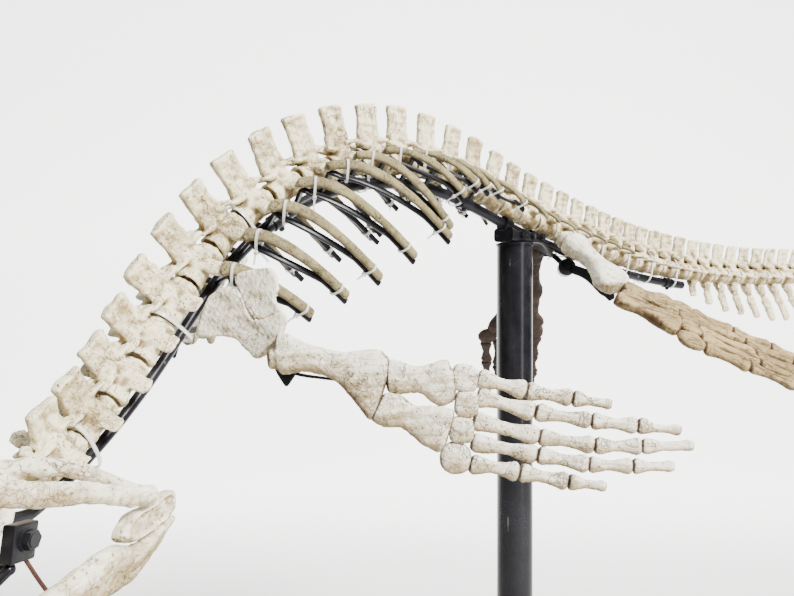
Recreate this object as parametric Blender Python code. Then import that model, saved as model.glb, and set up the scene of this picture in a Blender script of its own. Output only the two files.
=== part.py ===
"""A mounted mosasaur skeleton: the bones on a steel armature, pole and floor plate.

Metres, +Z up. The origin is the foot of the pole's axis, on the floor. The animal faces -Y and a little -X,
its left side turned to -Y, and its tail runs out to +X.

Backbone places are given as (back, left, up): along the column to the tail, to the animal's left, and up
the spine. Skull places are (forward, left, up) from the hind face of the skull.
"""

import math

import bmesh
import bpy
import numpy as np
from mathutils import Matrix, Vector

GAP = 0.0006  # between neighbouring pieces
SEAM = 0.0002  # half the cut between the two sides of the trunk

# ---- the backbone ----
NECK, TRUNK, PELVIC, CAUDAL = 7, 18, 6, 80
COUNT = NECK + TRUNK + PELVIC + CAUDAL
TAIL_PARTS = 4
LENGTH_AT = (0, 1, 3, 8, 18, 24, 27, 40, 110)
LENGTH = (0.024, 0.056, 0.060, 0.063, 0.061, 0.054, 0.047, 0.043, 0.010)
NAPE = Vector((-0.621, -0.715, 1.264))  # where the neck meets the skull
HEADING_STEP = 0.25  # metres of column between the headings below
YAW = (84, 58, 45, 40, 41, 37, 34, 20, 13, 6, -2, -10, -15, -14, -8, 2, 10, 14)
PITCH = (18, 53, 36, 7, -14, -12, -10, -6, 0, 5, 7, 6, 3, 0, -3, -5, -5, -4)
WALK = 0.005
ATLAS_FRONT = 0.4  # of its length: the condyle of the skull fills the rest

BODY_AT = (0, 1, 6, 18, 26, 34, 60, 90, 110)
BODY_RADIUS = (0.017, 0.019, 0.021, 0.024, 0.026, 0.024, 0.018, 0.010, 0.003)
BODY_SHARE = 0.84  # of a vertebra's length, the rest is the joint behind it
SPINE_AT = (0, 1, 5, 9, 13, 21, 30, 39, 58, 80, 100, 110)
SPINE_TOP = (0.034, 0.060, 0.074, 0.091, 0.101, 0.094, 0.090, 0.076, 0.078, 0.048, 0.020, 0.007)
SPINE_LENGTH_AT = (0, 1, 8, 12, 16, 30, 40, 110)
SPINE_LENGTH = (0.008, 0.034, 0.036, 0.038, 0.033, 0.034, 0.031, 0.006)
SPINE_LEAN_AT = (0, 8, 25, 31, 50, 110)
SPINE_LEAN = (0.004, 0.002, 0.000, 0.004, 0.022, 0.008)
HAEMAL_AT = (31, 33, 36, 45, 60, 90, 110)
HAEMAL_DROP = (0.040, 0.075, 0.100, 0.100, 0.080, 0.030, 0.006)
HAEMAL_BACK = (0.020, 0.040, 0.060, 0.065, 0.060, 0.020, 0.004)
HAEMAL_LAST = 82
HAEMAL_LENGTH, HAEMAL_HALF_WIDTH = 0.30, 0.12  # of the vertebra's length, and of its radius
WING_AT = (1, 6, 12, 18, 25, 31, 40, 52)  # the transverse processes
WING_REACH = (0.036, 0.045, 0.040, 0.036, 0.062, 0.058, 0.040, 0.021)
WING_UP = (-0.006, -0.010, 0.012, 0.010, 0.000, -0.004, -0.006, -0.002)
WING_LAST = 42
WING_LENGTH, WING_THICKNESS = 0.36, 0.36  # of the vertebra's length, and of its radius

# Half sections of a vertebra, from under the body to the top of the arch, in body radii (left, up).
HALF = ((0.95, -0.55), (0.85, 0.60), (0.28, 1.45))
UNDERSIDE = -0.94  # of the trunk's halves at the seam
ARCH_TOP = 1.75  # where a tall spine begins, in body radii
LOW_SPINES = 19  # from this vertebra on, spines rise in one step
SPINE_FOOT = 1.06  # of a tall spine's length
STOUT = ((0.6, -0.95), (1.0, 0.1), (0.6, 0.85), (0.26, 1.45))
PLAIN = ((0.7, -0.9), (0.3, 1.1))

# ---- the ribs ----
FIRST_RIB, LAST_LONG_RIB = 6, 16
RIB_AT = (6, 7, 8, 9, 10, 11, 12, 13, 15, 17, 18, 24)
RIB_BACK = (0.027, 0.037, 0.064, 0.104, 0.155, 0.120, 0.120, 0.100, 0.060, 0.100, 0.045, 0.030)
RIB_DROP = (0.129, 0.154, 0.177, 0.186, 0.180, 0.150, 0.090, 0.060, 0.040, 0.030, 0.015, 0.008)
RIB_OUT = (0.046, 0.060, 0.060, 0.060, 0.060, 0.060, 0.060, 0.060, 0.050, 0.045, 0.025, 0.015)
RIGHT_DROP = 0.93  # the right ribs sit a little closer
RIB_BREADTH = (0.021, 0.013)  # at the head and at the tip
RIB_THICKNESS = (0.012, 0.008)
RIB_STEPS = 3

# ---- the skull ----
CHIN, CHEEK_LINE = 0.85, 0.4  # width at the bottom of a ring, and how far down its widest place is
SKULL_YAW, SKULL_PITCH = math.radians(82), math.radians(10)
TOOTH_RADIUS, TOOTH_LENGTH, TOOTH_ROOT, TOOTH_SIDES = 0.0052, 0.019, 0.004, 4
TOOTH_LEAN = math.radians(14)
TEETH = 8  # along each side of a jaw
SMALL_TOOTH, TOOTH_GROWTH = 0.72, 0.28  # at the ends of a row, and how much more in its middle
UPPER_MARGIN = 0.86  # of the snout's half width, where its teeth stand
UPPER_ROW, LOWER_ROW = (0.275, 0.545), (0.235, 0.510)

# ---- the armature and stand ----
TUBE_RADIUS = 0.010
TUBE_CORNER = TUBE_RADIUS / math.cos(math.pi / 6)
TUBE_CLEAR = 0.0028  # to the bodies of the vertebrae
BODY_DEPTH = 0.96  # of a body's radius, to its underside
TUBE_END = 31  # it stops under the first vertebra of the tail
ROD_BREADTH, ROD_THICKNESS = 0.010, 0.005
POLE_RADIUS, POLE_TOP, RIM_RADIUS, RIM = 0.038, 1.568, 0.0405, 0.006
PLATE_SIZE = (1.05, 0.90, 0.015)
PLATE_CENTRE, PLATE_CORNER = (0.04, -0.06), 0.04
# The block between the pole and the tube: (along from the pole, half width, height where it overhangs).
SADDLE = ((-0.034, 0.026, None), (0.062, 0.026, None), (0.130, 0.005, 0.016))
NOSE_FORWARD, NOSE_DROP = 0.105, -0.029  # of the tube's front end, under the skull
POLE_SIDES = 16
FLANGE_RADIUS, FLANGE = 0.090, 0.012

BONE, STAINED, DARK_BONE, STEEL, IVORY = "bone", "stained_bone", "dark_bone", "black_steel", "ivory"
COLOURS = {
    BONE: ((0.80, 0.76, 0.68), 0.75, 0.0),
    STAINED: ((0.62, 0.52, 0.38), 0.75, 0.0),
    DARK_BONE: ((0.30, 0.20, 0.13), 0.75, 0.0),
    STEEL: ((0.02, 0.02, 0.024), 0.4, 0.6),
    IVORY: ((0.68, 0.58, 0.44), 0.45, 0.0),
}


def clear_scene():
    for obj in list(bpy.data.objects):
        bpy.data.objects.remove(obj)


def material(kind, name):
    colour, rough, metal = COLOURS[kind]
    made = bpy.data.materials.new(f"{kind}_{name}")
    made.use_nodes = True
    shader = made.node_tree.nodes["Principled BSDF"]
    shader.inputs["Base Color"].default_value = (*colour, 1.0)
    shader.inputs["Roughness"].default_value = rough
    shader.inputs["Metallic"].default_value = metal
    return made


def finish(bm, name, kind, smooth=True):
    """Turn a modelled shape into a named piece with its own material."""
    bmesh.ops.recalc_face_normals(bm, faces=bm.faces)
    mesh = bpy.data.meshes.new(name)
    bm.to_mesh(mesh)
    bm.free()
    if smooth:
        mesh.shade_smooth()
        mesh.set_sharp_from_angle(angle=math.radians(40))
    obj = bpy.data.objects.new(name, mesh)
    obj.data.materials.append(material(kind, name))
    bpy.context.scene.collection.objects.link(obj)
    return obj


def hide_as_tool(obj):
    obj.hide_render = True
    obj.display_type = "WIRE"
    return obj


def unite(obj, others):
    """Join other pieces to one, each with its own Boolean."""
    for number, other in enumerate(others):
        joined = obj.modifiers.new(f"join_{number}", "BOOLEAN")
        joined.operation = "UNION"
        joined.solver = "EXACT"
        joined.object = hide_as_tool(other)


# ---- growing shapes from faces ----
def pull(bm, corners, points):
    """Extrude the face on these corners and set its new corners on the points."""
    face = bm.faces.get(corners)
    order = list(face.verts)
    new = list(bmesh.ops.extrude_discrete_faces(bm, faces=[face])["faces"][0].verts)
    grown = [new[order.index(corner)] for corner in corners]
    for vert, point in zip(grown, points):
        vert.co = point
    return grown


def loft(bm, rings):
    """Draw the first ring as a face and extrude it through the others."""
    first = [bm.verts.new(point) for point in rings[0]]
    bm.faces.new(first)
    rows = [first]
    for ring in rings[1:]:
        rows.append(pull(bm, rows[-1], ring))
    bm.faces.new(first)
    return rows


def between(rows, row, side):
    """The four corners of the face between two rings, on one side of them."""
    a, b = rows[row], rows[row + 1]
    nxt = (side + 1) % len(a)
    return [a[side], a[nxt], b[nxt], b[side]]


def spline(a, b, c, d, f):
    """A smooth way from b to c, where a and d come before and after them."""
    bend = 2 * a - 5 * b + 4 * c - d
    twist = 3 * b - a - 3 * c + d
    return 0.5 * (2 * b + (c - a) * f + bend * f**2 + twist * f**3)


def curve(points, t):
    """A smooth way through the points, t from 0 to 1."""
    last = len(points) - 1
    k = min(int(t * last), last - 1)
    f = t * last - k
    p1, p2 = Vector(points[k]), Vector(points[k + 1])
    p0 = Vector(points[k - 1]) if k else 2 * p1 - p2
    p3 = Vector(points[k + 2]) if k + 2 <= last else 2 * p2 - p1
    return spline(p0, p1, p2, p3, f)


def section(centre, forward, breadth_way, breadth, thickness, sides=4):
    """A flat ring of points across a bar: breadth along breadth_way, thickness across it."""
    forward = forward.normalized()
    wide = (breadth_way - forward * breadth_way.dot(forward)).normalized()
    thick = forward.cross(wide)
    grow = 1 / math.cos(math.pi / sides)
    wide, thick = wide * grow * breadth / 2, thick * grow * thickness / 2
    turns = [math.tau * (k + 0.5) / sides for k in range(sides)]
    return [centre + wide * math.cos(turn) + thick * math.sin(turn) for turn in turns]


def bar_rings(points, sizes, breadth_way):
    """Rings along a path; each size is (breadth, thickness)."""
    rings = []
    for k, (point, (breadth, thickness)) in enumerate(zip(points, sizes)):
        ahead = points[min(k + 1, len(points) - 1)] - points[max(k - 1, 0)]
        rings.append(section(point, ahead, breadth_way, breadth, thickness))
    return rings


# ---- the backbone's course ----
def heading(knots, s):
    """A heading read smoothly from its knots, in radians."""
    t = min(max(s / HEADING_STEP, 0), len(knots) - 1 - 1e-9)
    k = int(t)
    f = t - k
    ends = [2 * knots[0] - knots[1], *knots, 2 * knots[-1] - knots[-2]]
    a, b, c, d = ends[k : k + 4]
    return math.radians(spline(a, b, c, d, f))


def back_way(s):
    yaw, pitch = heading(YAW, s), heading(PITCH, s)
    return Vector((math.cos(pitch) * math.cos(yaw), math.cos(pitch) * math.sin(yaw), math.sin(pitch)))


LENGTHS = np.interp(range(COUNT), LENGTH_AT, LENGTH)
STARTS = np.concatenate([[0], np.cumsum(LENGTHS)])
COURSE = [NAPE]
for step in range(int(STARTS[-1] / WALK) + 4):
    COURSE.append(COURSE[-1] + back_way((step + 0.5) * WALK) * WALK)


def place(s):
    """The backbone's axes at s metres from the skull: columns back, left, up and the point."""
    k = min(max(int(s / WALK), 0), len(COURSE) - 2)
    point = COURSE[k].lerp(COURSE[k + 1], s / WALK - k)
    yaw, pitch = heading(YAW, s), heading(PITCH, s)
    back = back_way(s)
    left = Vector((math.sin(yaw), -math.cos(yaw), 0))
    up = Vector((-math.sin(pitch) * math.cos(yaw), -math.sin(pitch) * math.sin(yaw), math.cos(pitch)))
    return frame_of(back, left, up, point)


def frame_of(x, y, z, point):
    return Matrix([[x[i], y[i], z[i], point[i]] for i in range(3)] + [[0, 0, 0, 1]])


def vertebra(index):
    """The axes at a vertebra's middle."""
    return place((STARTS[index] + STARTS[index + 1]) / 2)


def at(frame, back, left, up):
    return frame @ Vector((back, left, up))


def size(index, knots, values):
    return float(np.interp(index, knots, values))


# ---- the skull's axes: forward, left and up from its hind face ----
SKULL_FORWARD = Vector(
    (
        -math.cos(SKULL_YAW) * math.cos(SKULL_PITCH),
        -math.sin(SKULL_YAW) * math.cos(SKULL_PITCH),
        math.sin(SKULL_PITCH),
    )
)
SKULL_LEFT = Vector((math.sin(SKULL_YAW), -math.cos(SKULL_YAW), 0))
SKULL = frame_of(SKULL_FORWARD, SKULL_LEFT, SKULL_FORWARD.cross(SKULL_LEFT), NAPE)


# ---- vertebrae ----
def body_ring(index, share, outline):
    """A ring round a vertebra, some share of the way along it."""
    frame = place(STARTS[index] + share * LENGTHS[index])
    radius = size(index, BODY_AT, BODY_RADIUS)
    return [at(frame, 0, left * radius if abs(left) > 0.1 else left, up * radius) for left, up in outline]


def body_rings(first, last, outline, jointed):
    """Rings down a length of backbone: one to a vertebra, or two where the joints show, and its hind face."""
    rings = [body_ring(first, GAP / LENGTHS[first] if first else ATLAS_FRONT, outline)]
    for index in range(first, last):
        if index > first:
            rings.append(body_ring(index, 0, outline))
        if jointed:
            rings.append(body_ring(index, BODY_SHARE, outline))
    if not jointed:
        rings.append(body_ring(last - 1, 1 - GAP / LENGTHS[last - 1], outline))
    return rings


def grow_spine(bm, corners, index, low, high, two_steps):
    """Pull a blade up from the top of the arch. Corners: front low, front high, hind high, hind low."""
    frame = vertebra(index)
    length, lean = size(index, SPINE_LENGTH_AT, SPINE_LENGTH), size(index, SPINE_LEAN_AT, SPINE_LEAN)
    top, radius = size(index, SPINE_AT, SPINE_TOP), size(index, BODY_AT, BODY_RADIUS)
    if two_steps and index < LOW_SPINES:
        foot = [at(frame, x, y, ARCH_TOP * radius) for x, y in around(length * SPINE_FOOT, low, high)]
        corners = pull(bm, corners, foot)
    pull(bm, corners, [at(frame, lean + x, y, top) for x, y in around(length, low, high)])


def around(length, low, high):
    return ((-length / 2, low), (-length / 2, high), (length / 2, high), (length / 2, low))


def wing_end(index, side):
    """Where a transverse process ends and a rib begins."""
    return size(index, WING_AT, WING_REACH) * side, size(index, WING_AT, WING_UP)


def grow_wing(bm, corners, index, side):
    """Pull a transverse process out of the side of a vertebra."""
    frame = vertebra(index)
    out, up = wing_end(index, side)
    length = LENGTHS[index] * WING_LENGTH
    thick = size(index, BODY_AT, BODY_RADIUS) * WING_THICKNESS
    ring = around(length, -thick / 2, thick / 2)
    return pull(bm, corners, [at(frame, x, out, up + z) for x, z in ring])


def rib_path(index, side, steps, inset=0.0):
    """Points down a rib from its head, moved in from its middle line by inset."""
    frame = vertebra(index)
    out, up = wing_end(index, side)
    back, drop, wide = (size(index, RIB_AT, values) for values in (RIB_BACK, RIB_DROP, RIB_OUT))
    drop *= 1 if side > 0 else RIGHT_DROP
    points = []
    for step in range(steps + 1):
        t = step / steps
        turn = t * math.pi / 2
        across, down = wide * math.sin(turn), drop * (1 - math.cos(turn))
        slope = Vector((0, wide * math.cos(turn), -drop * math.sin(turn))).normalized()
        across -= inset * -slope.z
        down += inset * slope.y
        points.append(at(frame, back * t, out + across * side, up - down))
    return points


def grow_rib(bm, corners, index, side):
    """Carry a transverse process on into its rib."""
    frame = vertebra(index)
    broad = Vector(frame.col[0][:3])
    steps = RIB_STEPS if index <= LAST_LONG_RIB else 1
    path = rib_path(index, side, steps)
    for step in range(1, steps + 1):
        ahead = path[min(step + 1, steps)] - path[step - 1]
        t = step / steps
        breadth = RIB_BREADTH[0] + (RIB_BREADTH[1] - RIB_BREADTH[0]) * t
        thickness = RIB_THICKNESS[0] + (RIB_THICKNESS[1] - RIB_THICKNESS[0]) * t
        ring = section(path[step], ahead, broad, breadth, thickness)
        corners = pull(bm, corners, match(corners, ring))


def match(corners, ring):
    """Turn a ring of points round, or over, so that each lies nearest its own corner."""
    middle = sum((c.co for c in corners), Vector()) / len(corners)
    centre = sum(ring, Vector()) / len(ring)
    best = None
    for points in (ring, ring[::-1]):
        for turn in range(len(ring)):
            tried = points[turn:] + points[:turn]
            far = sum(((c.co - middle) - (p - centre)).length for c, p in zip(corners, tried))
            if best is None or far < best[0]:
                best = far, tried
    return best[1]


def whole_outline(half):
    return [*half, *((-left, up) for left, up in reversed(half))]


def column(name, first, last, half, spine_steps=False, jointed=False):
    """A length of backbone as one piece, from vertebra first up to, not including, last."""
    outline = whole_outline(half)
    sides = len(outline)
    top, bottom = len(half) - 1, sides - 1
    flank = max(len(half) - 3, 0)
    bm = bmesh.new()
    rows = loft(bm, body_rings(first, last, outline, jointed))
    for index in range(first, last):
        row = (index - first) * (2 if jointed else 1)
        edge = half[-1][0] * size(index, BODY_AT, BODY_RADIUS)
        grow_spine(bm, between(rows, row, top), index, edge, -edge, spine_steps)
        if 1 <= index < WING_LAST:
            for side, face in ((1, flank), (-1, sides - 2 - flank)):
                corners = grow_wing(bm, between(rows, row, face), index, side)
                if FIRST_RIB <= index < NECK:
                    grow_rib(bm, corners, index, side)
        if HAEMAL_AT[0] <= index < HAEMAL_LAST:
            grow_haemal(bm, between(rows, row, bottom), index)
    return finish(bm, name, BONE)


def grow_haemal(bm, corners, index):
    """Pull the bone under a tail vertebra down and back."""
    frame = vertebra(index)
    drop, back = size(index, HAEMAL_AT, HAEMAL_DROP), size(index, HAEMAL_AT, HAEMAL_BACK)
    radius = size(index, BODY_AT, BODY_RADIUS)
    length, wide = LENGTHS[index] * HAEMAL_LENGTH, radius * HAEMAL_HALF_WIDTH
    ring = ((-length / 2, -wide), (-length / 2, wide), (length / 2, wide), (length / 2, -wide))
    pull(bm, corners, [at(frame, back + x, y, -radius - drop) for x, y in ring])


def trunk_side(name, side):
    """One side of the trunk: half of each vertebra, with its ribs."""
    flank = [(left * side, up) for left, up in HALF]
    outline = [(SEAM * side, UNDERSIDE), *flank, (SEAM * side, HALF[-1][1])]
    bm = bmesh.new()
    first, last = NECK, NECK + TRUNK
    rows = loft(bm, body_rings(first, last, outline, False))
    for index in range(first, last):
        row = index - first
        edge = HALF[-1][0] * size(index, BODY_AT, BODY_RADIUS) * side
        grow_spine(bm, between(rows, row, len(HALF)), index, edge, SEAM * side, True)
        corners = grow_wing(bm, between(rows, row, len(HALF) - 2), index, side)
        grow_rib(bm, corners, index, side)
    return finish(bm, name, BONE)


# ---- the skull ----
def bar(frame, path, sizes, breadth_way):
    """A closed bar along a path of local points; sizes (breadth, thickness) run evenly from end to end."""
    steps = len(path) - 1
    points, spread = [], []
    for k in range(steps + 1):
        t = k / steps
        points.append(frame @ curve(path, t))
        breadth, thickness = curve([(*pair, 0) for pair in sizes], t)[:2]
        spread.append((breadth, thickness))
    bm = bmesh.new()
    loft(bm, bar_rings(points, spread, frame.to_3x3() @ Vector(breadth_way)))
    return bm


def roof_rings(stations, shoulder=0.5):
    """Rings across the skull: each station is (forward, half width, top, bottom)."""
    rings = []
    for x, w, top, low in stations:
        half = [(w * CHIN, low), (w, top - (top - low) * CHEEK_LINE), (w * shoulder, top)]
        rings.append([SKULL @ Vector((x, y, z)) for y, z in [*half, *((-y, z) for y, z in reversed(half))]])
    return rings


def skull_bar(name, path, sizes, side):
    mirrored = [(x, y * side, z) for x, y, z in path]
    return finish(bar(SKULL, mirrored, sizes, (0, 0, 1)), f"{name}_{side}", BONE)


def teeth(name, spots, down):
    """Pointed teeth standing on the spots; down is 1 for the upper jaw and -1 for the lower."""
    bm = bmesh.new()
    for spot, scale in spots:
        length = TOOTH_LENGTH * scale
        lean = Matrix.Rotation(TOOTH_LEAN * down, 4, "Y")
        flip = Matrix.Rotation(math.pi, 4, "X") if down > 0 else Matrix()
        lift = Matrix.Translation((0, 0, length / 2 - TOOTH_ROOT))
        bmesh.ops.create_cone(
            bm,
            cap_ends=True,
            segments=TOOTH_SIDES,
            radius1=TOOTH_RADIUS * scale,
            radius2=0.0,
            depth=length,
            matrix=SKULL @ Matrix.Translation(spot) @ lean @ flip @ lift,
        )
    return finish(bm, name, IVORY, smooth=False)


def tooth_row(ends, edge):
    """Evenly spaced places along a jaw's margin, with a size for each tooth."""
    first, last = ends
    spots = []
    for k in range(TEETH):
        x = first + (last - first) * k / (TEETH - 1)
        scale = SMALL_TOOTH + TOOTH_GROWTH * math.sin(math.pi * (k + 1) / (TEETH + 1))
        spots.append((Vector((x, *edge(x))), scale))
    return spots


def read(stations, x, column):
    """One value of a table of stations, read at x."""
    rows = sorted(stations)
    return float(np.interp(x, [row[0] for row in rows], [row[column] for row in rows]))


# (forward, half width, top, bottom)
SNOUT = (
    (0.255, 0.062, 0.032, -0.024),
    (0.300, 0.056, 0.033, -0.026),
    (0.380, 0.045, 0.028, -0.024),
    (0.460, 0.035, 0.020, -0.021),
    (0.525, 0.026, 0.011, -0.018),
    (0.560, 0.012, 0.000, -0.014),
)
FRONTAL = (
    (0.130, 0.050, 0.036, 0.022),
    (0.180, 0.056, 0.035, 0.022),
    (0.235, 0.046, 0.034, 0.016),
    (0.290, 0.034, 0.033, 0.0),
)
PARIETAL = (
    (0.015, 0.017, 0.029, 0.012),
    (0.060, 0.014, 0.031, 0.013),
    (0.110, 0.016, 0.034, 0.016),
    (0.145, 0.034, 0.036, 0.020),
)
BRAINCASE = (
    (0.006, 0.017, 0.018, -0.016),
    (0.040, 0.027, 0.023, -0.016),
    (0.085, 0.025, 0.025, -0.016),
    (0.125, 0.012, 0.024, -0.008),
)
CONDYLE = ((0.0015, 0.010, 0.010, -0.010), (0.012, 0.014, 0.013, -0.013))
# (forward, left, up) down each paired bone
PARIETAL_ARM = (
    (0.030, 0.008, 0.023),
    (0.012, 0.032, 0.023),
    (-0.006, 0.062, 0.017),
    (-0.026, 0.090, 0.002),
    (-0.043, 0.110, -0.006),
)
TEMPLE_BAR = (
    (-0.046, 0.112, -0.006),
    (0.000, 0.117, -0.003),
    (0.050, 0.114, 0.008),
    (0.100, 0.106, 0.013),
    (0.140, 0.097, 0.019),
    (0.168, 0.076, 0.028),
    (0.172, 0.040, 0.030),
)
EAR_STRUT = ((0.022, 0.012, 0.001), (-0.013, 0.062, -0.004), (-0.036, 0.104, -0.007))
CHEEK = (
    (0.150, 0.093, 0.020),
    (0.155, 0.099, -0.004),
    (0.175, 0.096, -0.022),
    (0.220, 0.085, -0.026),
    (0.275, 0.058, -0.020),
)
BROW = ((0.278, 0.048, 0.010), (0.238, 0.060, 0.018), (0.198, 0.042, 0.028))
PALATE = (
    (0.280, 0.026, -0.020),
    (0.200, 0.034, -0.031),
    (0.110, 0.038, -0.032),
    (0.060, 0.032, -0.022),
    (0.040, 0.022, -0.012),
)
PALATE_STRUT = ((0.190, 0.034, -0.030), (0.205, 0.086, -0.024))

# The paired bones, with (breadth, thickness) from end to end.
SKULL_BARS = {
    "parietal_arm": (PARIETAL_ARM, ((0.012, 0.016), (0.013, 0.014))),
    "temple_bar": (TEMPLE_BAR, ((0.015, 0.011), (0.019, 0.012), (0.016, 0.016))),
    "ear_strut": (EAR_STRUT, ((0.012, 0.016), (0.010, 0.010))),
    "cheek": (CHEEK, ((0.012, 0.016), (0.014, 0.010), (0.015, 0.012))),
    "brow": (BROW, ((0.030, 0.020), (0.016, 0.012))),
    "palate": (PALATE, ((0.009, 0.018), (0.009, 0.020), (0.009, 0.010))),
    "palate_strut": (PALATE_STRUT, ((0.008, 0.014), (0.008, 0.012))),
}

# Flat outline (forward, up) of the bone that hangs the jaw from the skull.
QUADRATE = (
    (-0.015, -0.023),
    (-0.048, -0.018),
    (-0.085, -0.008),
    (-0.094, -0.016),
    (-0.091, -0.032),
    (-0.027, -0.048),
    (0.002, -0.040),
)
QUADRATE_FROM, QUADRATE_TO = 0.097, 0.114
# Across a jaw: place in its thickness, outward, and height.
JAW_SECTION = ((-0.35, 0.0), (0.5, 0.25), (0.5, 0.75), (0.1, 1.0), (-0.5, 0.75), (-0.5, 0.25))
# (forward, left, top, bottom, thickness)
JAW = (
    (-0.106, 0.103, -0.036, -0.047, 0.010),
    (-0.070, 0.104, -0.042, -0.068, 0.014),
    (-0.030, 0.104, -0.052, -0.087, 0.018),
    (0.010, 0.102, -0.0455, -0.092, 0.020),
    (0.060, 0.099, -0.059, -0.102, 0.018),
    (0.120, 0.091, -0.073, -0.119, 0.017),
    (0.165, 0.083, -0.068, -0.132, 0.016),
    (0.215, 0.074, -0.099, -0.144, 0.016),
    (0.330, 0.051, -0.130, -0.173, 0.016),
    (0.450, 0.027, -0.162, -0.198, 0.015),
    (0.525, 0.0125, -0.182, -0.208, 0.012),
)


def skull():
    bm = bmesh.new()
    loft(bm, roof_rings(SNOUT))
    main_bone = finish(bm, "skull", BONE)
    parts = []
    for name, stations, shoulder in (
        ("frontal", FRONTAL, 0.6),
        ("parietal", PARIETAL, 0.5),
        ("braincase", BRAINCASE, 0.5),
        ("condyle", CONDYLE, 0.5),
    ):
        bm = bmesh.new()
        loft(bm, roof_rings(stations, shoulder))
        parts.append(finish(bm, name, BONE))
    for side in (1, -1):
        for name, (path, sizes) in SKULL_BARS.items():
            parts.append(skull_bar(name, path, sizes, side))
        margin = UPPER_MARGIN * side
        row = tooth_row(UPPER_ROW, lambda x: (read(SNOUT, x, 1) * margin, read(SNOUT, x, 3) + 0.001))
        parts.append(teeth(f"upper_teeth_{side}", row, 1))
    unite(main_bone, parts)


def quadrate(name, side):
    bm = bmesh.new()
    loft(bm, [[SKULL @ Vector((x, y * side, z)) for x, z in QUADRATE] for y in (QUADRATE_FROM, QUADRATE_TO)])
    finish(bm, name, BONE)


def jaw(name, side):
    rings = []
    for x, y, top, low, thick in JAW:
        ring = [(share, low + (top - low) * height) for share, height in JAW_SECTION]
        rings.append([SKULL @ Vector((x, (y + share * thick) * side, z)) for share, z in ring])
    bm = bmesh.new()
    loft(bm, rings)
    bone = finish(bm, name, BONE)
    row = tooth_row(LOWER_ROW, lambda x: (read(JAW, x, 1) * side, read(JAW, x, 2) - 0.001))
    unite(bone, [teeth(f"{name}_teeth", row, -1)])


# ---- the paddles ----
# Each bone is drawn flat, in metres: pairs of (along, across) points on its leading and trailing edges.
UPPER_ARM = (
    ((-0.006, 0.009), (-0.004, -0.016)),
    ((0.003, 0.024), (0.006, -0.024)),
    ((0.041, 0.010), (0.036, -0.020)),
    ((0.078, 0.001), (0.069, -0.031)),
    ((0.119, 0.004), (0.091, -0.055)),
    ((0.134, -0.008), (0.110, -0.080)),
)
RADIUS = (
    ((0.1385, -0.008), (0.1395, -0.046)),
    ((0.150, -0.010), (0.151, -0.048)),
    ((0.175, -0.016), (0.175, -0.0475)),
    ((0.206, -0.0075), (0.199, -0.063)),
    ((0.2135, -0.018), (0.2145, -0.060)),
)
ULNA = (
    ((0.136, -0.0495), (0.1175, -0.083)),
    ((0.150, -0.052), (0.131, -0.089)),
    ((0.166, -0.064), (0.155, -0.092)),
    ((0.194, -0.067), (0.180, -0.114)),
    ((0.2145, -0.070), (0.197, -0.122)),
)
ARM_THICKNESS = (0.024, 0.030, 0.024, 0.022, 0.022, 0.018)
FOREARM_THICKNESS = (0.018, 0.019, 0.015, 0.018, 0.016)
# Each digit: where it starts, its phalanges' lengths, and their headings in degrees.
DIGITS = (
    ((0.248, -0.029), (0.062, 0.058, 0.050), (-15, -9, -9)),
    ((0.246, -0.051), (0.075, 0.071, 0.058, 0.055), (-15, -9, -6, -6)),
    ((0.243, -0.082), (0.083, 0.070, 0.059, 0.066), (-14, -9, -1, 1)),
    ((0.240, -0.109), (0.083, 0.065, 0.055, 0.053), (-11, -11, -2, 0)),
    ((0.238, -0.136), (0.062, 0.062, 0.048), (-10, -11, -7)),
)
# The pebble-like wrist bones joined to a digit: centre, length, width.
WRIST = {
    0: ((0.2315, -0.029), 0.029, 0.029),
    1: ((0.234, -0.0605), 0.024, 0.031),
    2: ((0.2275, -0.0930), 0.023, 0.030),
    4: ((0.2205, -0.127), 0.033, 0.036),
}
JOINT_WIDTH, WAIST_WIDTH, TIP_WIDTH = 0.021, 0.0125, 0.013
DIGIT_THICKNESS = 0.013
WAIST_THICKNESS, TIP_THICKNESS = 0.75, 0.6  # of the thickness at a joint
DIGIT_TAPER = 0.06  # lost with each bone down a digit
WRIST_PROFILE = ((-0.5, 0.6), (0.0, 1.05), (0.46, 0.6))  # place along a wrist bone, and its width there


def flat_ring(frame, lead, trail, thickness):
    lead, trail = Vector((*lead, 0)), Vector((*trail, 0))
    ring = [lead]
    for share, z in ((0.25, 0.5), (0.75, 0.5), (1, 0), (0.75, -0.5), (0.25, -0.5)):
        ring.append(lead.lerp(trail, share) + Vector((0, 0, z * thickness)))
    return [frame @ point for point in ring]


def flat_bone(name, frame, edges, thickness, kind):
    bm = bmesh.new()
    loft(bm, [flat_ring(frame, lead, trail, thick) for (lead, trail), thick in zip(edges, thickness)])
    finish(bm, name, kind)


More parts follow.
